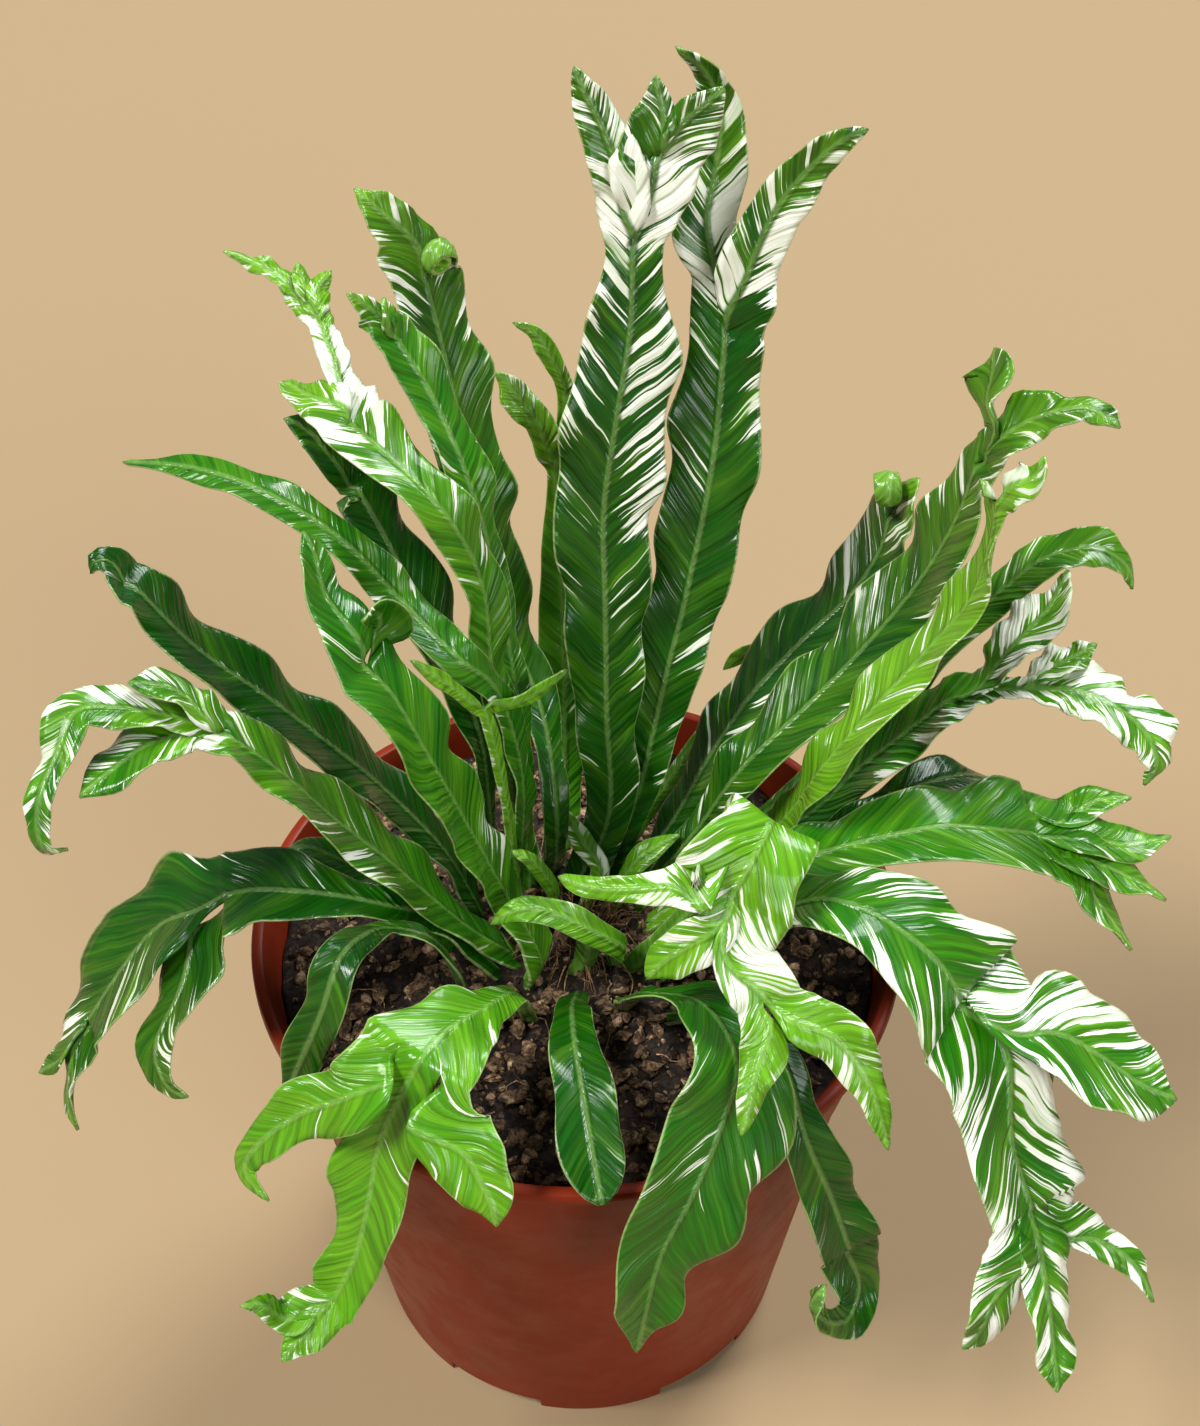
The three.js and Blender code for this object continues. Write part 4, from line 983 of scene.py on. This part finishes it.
def pot_cutters():
    """The gaps between the feet and the drain holes, as one mesh to cut with."""
    pieces = []
    for k in range(FOOT_COUNT):
        turn = math.radians(FOOT_GAP_TURN + 360 * k / FOOT_COUNT)
        ax, ay = math.cos(turn), math.sin(turn)
        gap = []
        for out, side in ((-1, -1), (1, -1), (1, 1), (-1, 1)):
            r, t = FOOT_RADIUS + out * FOOT_GAP_DEPTH, side * FOOT_GAP_WIDTH / 2
            gap.append((ax * r - ay * t, ay * r + ax * t))
        hole = ring(DRAIN_RADIUS, DRAIN_SIDES, middle=(ax * DRAIN_CIRCLE, ay * DRAIN_CIRCLE))
        pieces.append(prism(gap, -FOOT_GAP_HEIGHT, FOOT_GAP_HEIGHT))
        pieces.append(prism(hole, FLOOR_HEIGHT - 2, FLOOR_HEIGHT + 4))
    return gather(pieces)[:2]


def cut(obj, cutter):
    """Takes one object out of another and keeps the result in its mesh."""
    modifier = obj.modifiers.new("cut", "BOOLEAN")
    modifier.object = cutter
    modifier.operation = "DIFFERENCE"
    modifier.solver = "EXACT"
    bpy.context.view_layer.update()
    ready = obj.evaluated_get(bpy.context.evaluated_depsgraph_get())
    mesh = bpy.data.meshes.new_from_object(ready)
    obj.modifiers.clear()
    obj.data = mesh
    bpy.data.objects.remove(cutter)


def shade_by_angle(obj, degrees):
    """Smooth faces with sharp edges where the surface turns by more than an angle."""
    bm = bmesh.new()
    bm.from_mesh(obj.data)
    limit = math.radians(degrees)
    for edge in bm.edges:
        edge.smooth = len(edge.link_faces) == 2 and edge.calc_face_angle(0) < limit
    for face in bm.faces:
        face.smooth = True
    bm.to_mesh(obj.data)
    bm.free()


def pot_material():
    """Reddish-brown plastic with faint mould rings, scuffs and some soil near the floor."""
    material, w, shader = new_material("nursery_pot_plastic", Specular_IOR_Level=0.14)
    grain = w.group(SPECKLE, Grain=0.9, Lumps=0.35)
    at = w.place()
    height = w.node("ShaderNodeSeparateXYZ", {0: at})[2]
    rings = w.noise(w.vector(0.0, 0.0, w.times(height, 900.0)), detail=1.0)
    scuff = w.noise(at, 55.0, 5.0, 0.65)
    base = w.blend(w.ramp(grain["Lumps"], 0.3, 0.7), (0.18, 0.018, 0.0045, 1),
                   (0.205, 0.022, 0.006, 1))
    base = w.blend(w.times(w.ramp(scuff, 0.6, 0.75), 0.12), base, (0.4, 0.13, 0.07, 1))
    soiled = w.times(w.ramp(height, 0.1, 0.0), w.ramp(grain["Lumps"], 0.5, 0.75))
    base = w.blend(w.times(soiled, 0.35), base, (0.07, 0.03, 0.018, 1))
    w.feed(shader["Base Color"], base)
    w.feed(shader["Roughness"], w.ramp(scuff, 0.35, 0.7, 0.36, 0.52))
    relief = w.plus(w.times(grain["Grain"], 0.35), w.times(rings, 0.25))
    w.feed(shader["Normal"], w.bump(relief, 0.25, 0.0002))
    return material


def dress_pot():
    pot = new_object("nursery_pot", *lathe(pot_profile(), POT_SIDES))
    cut(pot, new_object("pot_cutters", *pot_cutters()))
    shade_by_angle(pot, SHARP_ANGLE)
    pot.data.materials.clear()
    pot.data.materials.append(pot_material())
    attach(pot, "root")
    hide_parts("pot")


# Soil


def soil_height(x, y):
    """The soil's height: heaped towards the crown, low at the wall, and lumpy."""
    r = math.hypot(x, y)
    heap = HEAP_HEIGHT * smooth(1 - r / HEAP_RADIUS) - WALL_DIP * smooth((r - HEAP_RADIUS) / 30)
    lumps = (math.sin(x * 0.23 + 1.3) * math.cos(y * 0.19)
             + 0.7 * math.sin(x * 0.41 - y * 0.37 + 0.6))
    return SOIL_LEVEL + heap + lumps


def soil_skin(x, y):
    """The crumbly surface that is seen."""
    clods = 1.7 * noise.fractal(Vector((x * 0.16, y * 0.16, 1.5)), 1.0, 2.1, 3)
    return soil_height(x, y) + clods + 0.9 * noise.noise(Vector((x * 0.6, y * 0.6, 4))) - 0.4


def soil_body():
    """The soil's surface, ring by ring from the middle, over a plain body hidden in the pot."""
    sides = SOIL_SIDES
    points = [(0, 0, soil_height(0, 0))]
    for i in range(1, SOIL_RINGS + 1):
        for x, y in ring(SOIL_EDGE * i / SOIL_RINGS, sides, 0.5 * (i % 2)):
            points.append((x, y, soil_skin(x, y)))
    faces = ring_faces(sides, SOIL_RINGS, flip=True)
    rim, foot = len(points) - sides, len(points)
    points += [(x, y, FLOOR_HEIGHT + WALL + 1) for x, y in ring(FOOT_RADIUS - 3, sides)]
    for k in range(sides):
        n = (k + 1) % sides
        faces.append((rim + k, foot + k, foot + n, rim + n))
    faces.append(tuple(reversed(range(foot, foot + sides))))
    return points, faces


def lump(draw, centre, size, roundness):
    """One irregular chip or stone: a squashed, knocked-about ball."""
    turn = draw.uniform(0, TURN)
    tilt = draw.uniform(-0.6, 0.6)
    rings, sides = 2, 6
    points = [(0, 0, 1)]
    for i in range(1, rings + 1):
        polar = math.pi * i / (rings + 1)
        points += [(x, y, math.cos(polar)) for x, y in ring(math.sin(polar), sides, 0.5 * i)]
    points.append((0, 0, -1))
    placed = []
    for point in points:
        knock = 1 + (1 - roundness) * draw.uniform(-1, 1)
        x, y, z = (p * s * knock for p, s in zip(point, size))
        y, z = y * math.cos(tilt) - z * math.sin(tilt), y * math.sin(tilt) + z * math.cos(tilt)
        x, y = x * math.cos(turn) - y * math.sin(turn), x * math.sin(turn) + y * math.cos(turn)
        placed.append((centre[0] + x, centre[1] + y, centre[2] + z))
    return placed, ring_faces(sides, rings, last=len(points) - 1, flip=True)


def gather(pieces):
    """Many small sets of points and faces as one, with the number of its set for each point."""
    points, faces, tags = [], [], []
    for tag, (some_points, some_faces) in enumerate(pieces):
        first = len(points)
        points.extend(some_points)
        faces.extend(tuple(first + i for i in f) for f in some_faces)
        tags.extend([tag] * len(some_points))
    return points, faces, tags


def on_soil(draw, inner=10, outer=SOIL_EDGE - 3):
    r = math.sqrt(draw.uniform(inner**2, outer**2))
    a = draw.uniform(0, TURN)
    x, y = r * math.cos(a), r * math.sin(a)
    return x, y, soil_skin(x, y)


def thread(path, radius):
    """A thin root or fibre along a path, four-sided and finer towards its end."""
    course = Course(path, 6)
    count = max(4, int(course.length / 1.6))
    stance = Stance(course.heading(0), np.array([0.3, 0.5, 0.8]))
    points, faces = [], []
    for j in range(count + 1):
        s = j / count
        stance = stance.bent_to(course.heading(s))
        centre = course.at(s)
        r = radius * (1 - 0.7 * s)
        for k in range(4):
            a = math.pi * k / 2
            spoke = stance.right * r * math.cos(a), stance.up * r * math.sin(a)
            points.append(tuple(centre + spoke[0] + spoke[1]))
    for j in range(0, 4 * count, 4):
        for k in range(4):
            n = (k + 1) % 4
            faces.append((j + k, j + n, j + 4 + n, j + 4 + k))
    faces.append((3, 2, 1, 0))
    faces.append(tuple(4 * count + k for k in range(4)))
    return points, faces


def curled_path(draw, start, length, lift):
    """A wandering path that keeps close to the soil."""
    x, y, _ = start
    heading = draw.uniform(0, TURN)
    path = []
    steps = 6
    for j in range(steps):
        arch = lift * math.sin(math.pi * j / (steps - 1)) * draw.uniform(0.6, 1.2)
        path.append((x, y, soil_height(x, y) + 0.3 + arch))
        heading += draw.uniform(-FIBRE_CURL, FIBRE_CURL)
        x += length / steps * math.cos(heading)
        y += length / steps * math.sin(heading)
        if math.hypot(x, y) > SOIL_EDGE - 2:
            heading += math.pi / 2
            x, y = 0.96 * x, 0.96 * y
    return path


def bark_chip(draw):
    x, y, z = on_soil(draw)
    big = draw.random() ** 3
    size = (0.7 + 3.6 * big, 0.5 + 2.2 * big, 0.4 + 1.3 * big)
    return lump(draw, (x, y, z + 0.35 * size[2]), size, 0.62)


def small_stone(draw):
    x, y, z = on_soil(draw, 20)
    s = draw.uniform(0.5, 2.1)
    return lump(draw, (x, y, z + 0.4 * s), (1.4 * s, s, 0.7 * s), 0.8)


def fibre(draw):
    start = on_soil(draw, 8, SOIL_EDGE - 6)
    path = curled_path(draw, start, draw.uniform(*FIBRE_LENGTH), draw.uniform(*FIBRE_LIFT))
    return thread(path, draw.uniform(*FIBRE_RADIUS))


def root_hair(draw):
    """A fine root that arches out of the crown and back into the soil."""
    a = draw.uniform(0, TURN)
    r = draw.uniform(*ROOT_START)
    x, y = r * math.cos(a), r * math.sin(a)
    out = draw.uniform(*ROOT_REACH)
    up = draw.uniform(*ROOT_RISE)
    ground = soil_height(x, y)
    path = [(x, y, ground - 1)]
    for j in (1, 2, 3):
        t = j / 3
        path.append((x + out * t * math.cos(a) + draw.uniform(-ROOT_STRAY, ROOT_STRAY),
                     y + out * t * math.sin(a) + draw.uniform(-ROOT_STRAY, ROOT_STRAY),
                     ground + up * math.sin(math.pi * t) + 0.4))
    return thread(path, draw.uniform(*ROOT_RADIUS))


# Each earth: its dark, light and accent colour, the accent's share, and how fine its grains and
# its lumps are
EARTHS = dict(
    dark_soil=((0.004, 0.0025, 0.002, 1), (0.022, 0.013, 0.008, 1), (0.09, 0.055, 0.03, 1),
               0.42, 0.45, 2.6),
    dark_bark=((0.022, 0.013, 0.008, 1), (0.12, 0.07, 0.036, 1), (0.3, 0.2, 0.11, 1),
               0.45, 0.8, 3.0),
    tan_bark=((0.16, 0.09, 0.05, 1), (0.36, 0.24, 0.15, 1), (0.5, 0.4, 0.3, 1), 0.4, 0.9, 4.0),
    dry_fibre=((0.12, 0.06, 0.03, 1), (0.32, 0.2, 0.11, 1), (0.2, 0.08, 0.04, 1), 0.4, 1.0, 4.0),
    brown_root_hair=((0.07, 0.035, 0.018, 1), (0.22, 0.12, 0.06, 1), (0.3, 0.2, 0.1, 1),
                     0.4, 1.0, 4.0),
    crown_scales=((0.03, 0.018, 0.01, 1), (0.12, 0.075, 0.035, 1), (0.2, 0.13, 0.06, 1),
                  0.45, 0.7, 3.5),
)


def earth_material(name):
    """Grains of two sizes in three colours, lighter or darker from one loose piece to the next."""
    dark, light, accent, share, grain, lumps = EARTHS[name]
    material, w, shader = new_material(name, Roughness=0.9, Specular_IOR_Level=0.3)
    specks = w.group(SPECKLE, Grain=grain, Lumps=lumps)
    colour = w.blend(w.ramp(specks["Grain"], 0.35, 0.65), dark, light)
    colour = w.blend(w.ramp(specks["Lumps"], 1 - share, 1.12 - share), colour, accent)
    own = w.noise(w.vector(w.times(w.layer("piece"), 7.31), 0.0, 0.0), 3.0)
    colour = w.darken(colour, w.ramp(own, 0.28, 0.72, 0.1, 2.7))
    w.feed(shader["Base Color"], colour)
    relief = w.plus(specks["Grain"], w.times(specks["Lumps"], 2.0))
    w.feed(shader["Normal"], w.bump(relief, 0.8, 0.0008))
    return material


def scatter(name, draw, make, count, earth, flat=False):
    """Many loose bits of one kind as one piece."""
    points, faces, tags = gather([make(draw) for _ in range(count)])
    obj = new_object(name, points, faces, flat)
    store(obj, "piece", tags)
    obj.data.materials.append(earth_material(earth))
    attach(obj, "root")


def dress_soil():
    soil = new_object("potting_soil", *soil_body())
    store(soil, "piece", np.full(len(soil.data.vertices), 3.0))
    soil.data.materials.append(earth_material("dark_soil"))
    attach(soil, "root")
    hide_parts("soil")

    draw = random.Random(21)
    scatter("bark_chips", draw, bark_chip, BARK_COUNT, "dark_bark", flat=True)
    scatter("tan_chips", draw, small_stone, STONE_COUNT, "tan_bark")
    scatter("soil_fibres", draw, fibre, FIBRE_COUNT, "dry_fibre")
    scatter("root_tuft", draw, root_hair, ROOT_COUNT, "brown_root_hair")

    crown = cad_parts["crown"]
    crown.data.materials.clear()
    crown.data.materials.append(earth_material("crown_scales"))


# Floor, light and camera


def lay_floor():
    material, w, shader = new_material("pale_floor", Roughness=0.85, Specular_IOR_Level=0.2)
    soft = w.noise(w.place(), 1.3, 2.0)
    w.feed(shader["Base Color"], w.blend(soft, (0.315, 0.226, 0.127, 1), (0.322, 0.231, 0.13, 1)))
    mesh = bpy.data.meshes.new("floor")
    half = 6.0
    corners = [(-half, -half, 0), (half, -half, 0), (half, half, 0), (-half, half, 0)]
    mesh.from_pydata(corners, [], [(0, 1, 2, 3)])
    mesh.materials.append(material)
    floor = add_object("floor", mesh)


def soft_light(name, place, spread, strength, colour=(1, 1, 1)):
    """A wide, distant studio lamp that lights the plant and the whole floor evenly."""
    light = bpy.data.lights.new(name, "SUN")
    light.angle = math.radians(spread)
    light.energy = strength
    light.color = colour
    obj = add_object(name, light)
    obj.location = Vector(place)
    obj.rotation_euler = (-Vector(place)).to_track_quat("-Z", "Y").to_euler()


def light_studio():
    soft_light("key_light", (-1.9, -0.7, 2.9), 17, 3.4, (1, 0.985, 0.96))
    soft_light("top_light", (1.3, 1.7, 2.7), 22, 2.9, (0.97, 0.99, 1))
    soft_light("front_fill", (1.5, -2.6, 1.8), 30, 1.5)
    world = bpy.data.worlds.new("studio")
    world.use_nodes = True
    sky = world.node_tree.nodes["Background"].inputs
    sky["Color"].default_value = (0.95, 0.97, 1, 1)
    sky["Strength"].default_value = 0.2
    bpy.context.scene.world = world
    bpy.context.scene.view_settings.view_transform = "Standard"


def set_camera():
    """The photograph's own view, found from the pot's rim and feet."""
    focal_pixels, picture_pixels = 1900, 1426
    turn, tilt = math.radians(1.06), math.radians(-43.24)
    camera = bpy.data.cameras.new("camera")
    camera.sensor_width = 36
    camera.lens = 36 * focal_pixels / picture_pixels
    camera.clip_end = 30
    obj = add_object("camera", camera)
    aim = Vector((math.sin(turn) * math.cos(tilt), math.cos(turn) * math.cos(tilt), math.sin(tilt)))
    obj.location = AXIS + Vector((0, -385, 623)) * MM
    obj.rotation_euler = aim.to_track_quat("-Z", "Y").to_euler()
    bpy.context.scene.camera = obj


dress_fronds()
dress_pot()
dress_soil()
lay_floor()
light_studio()
set_camera()
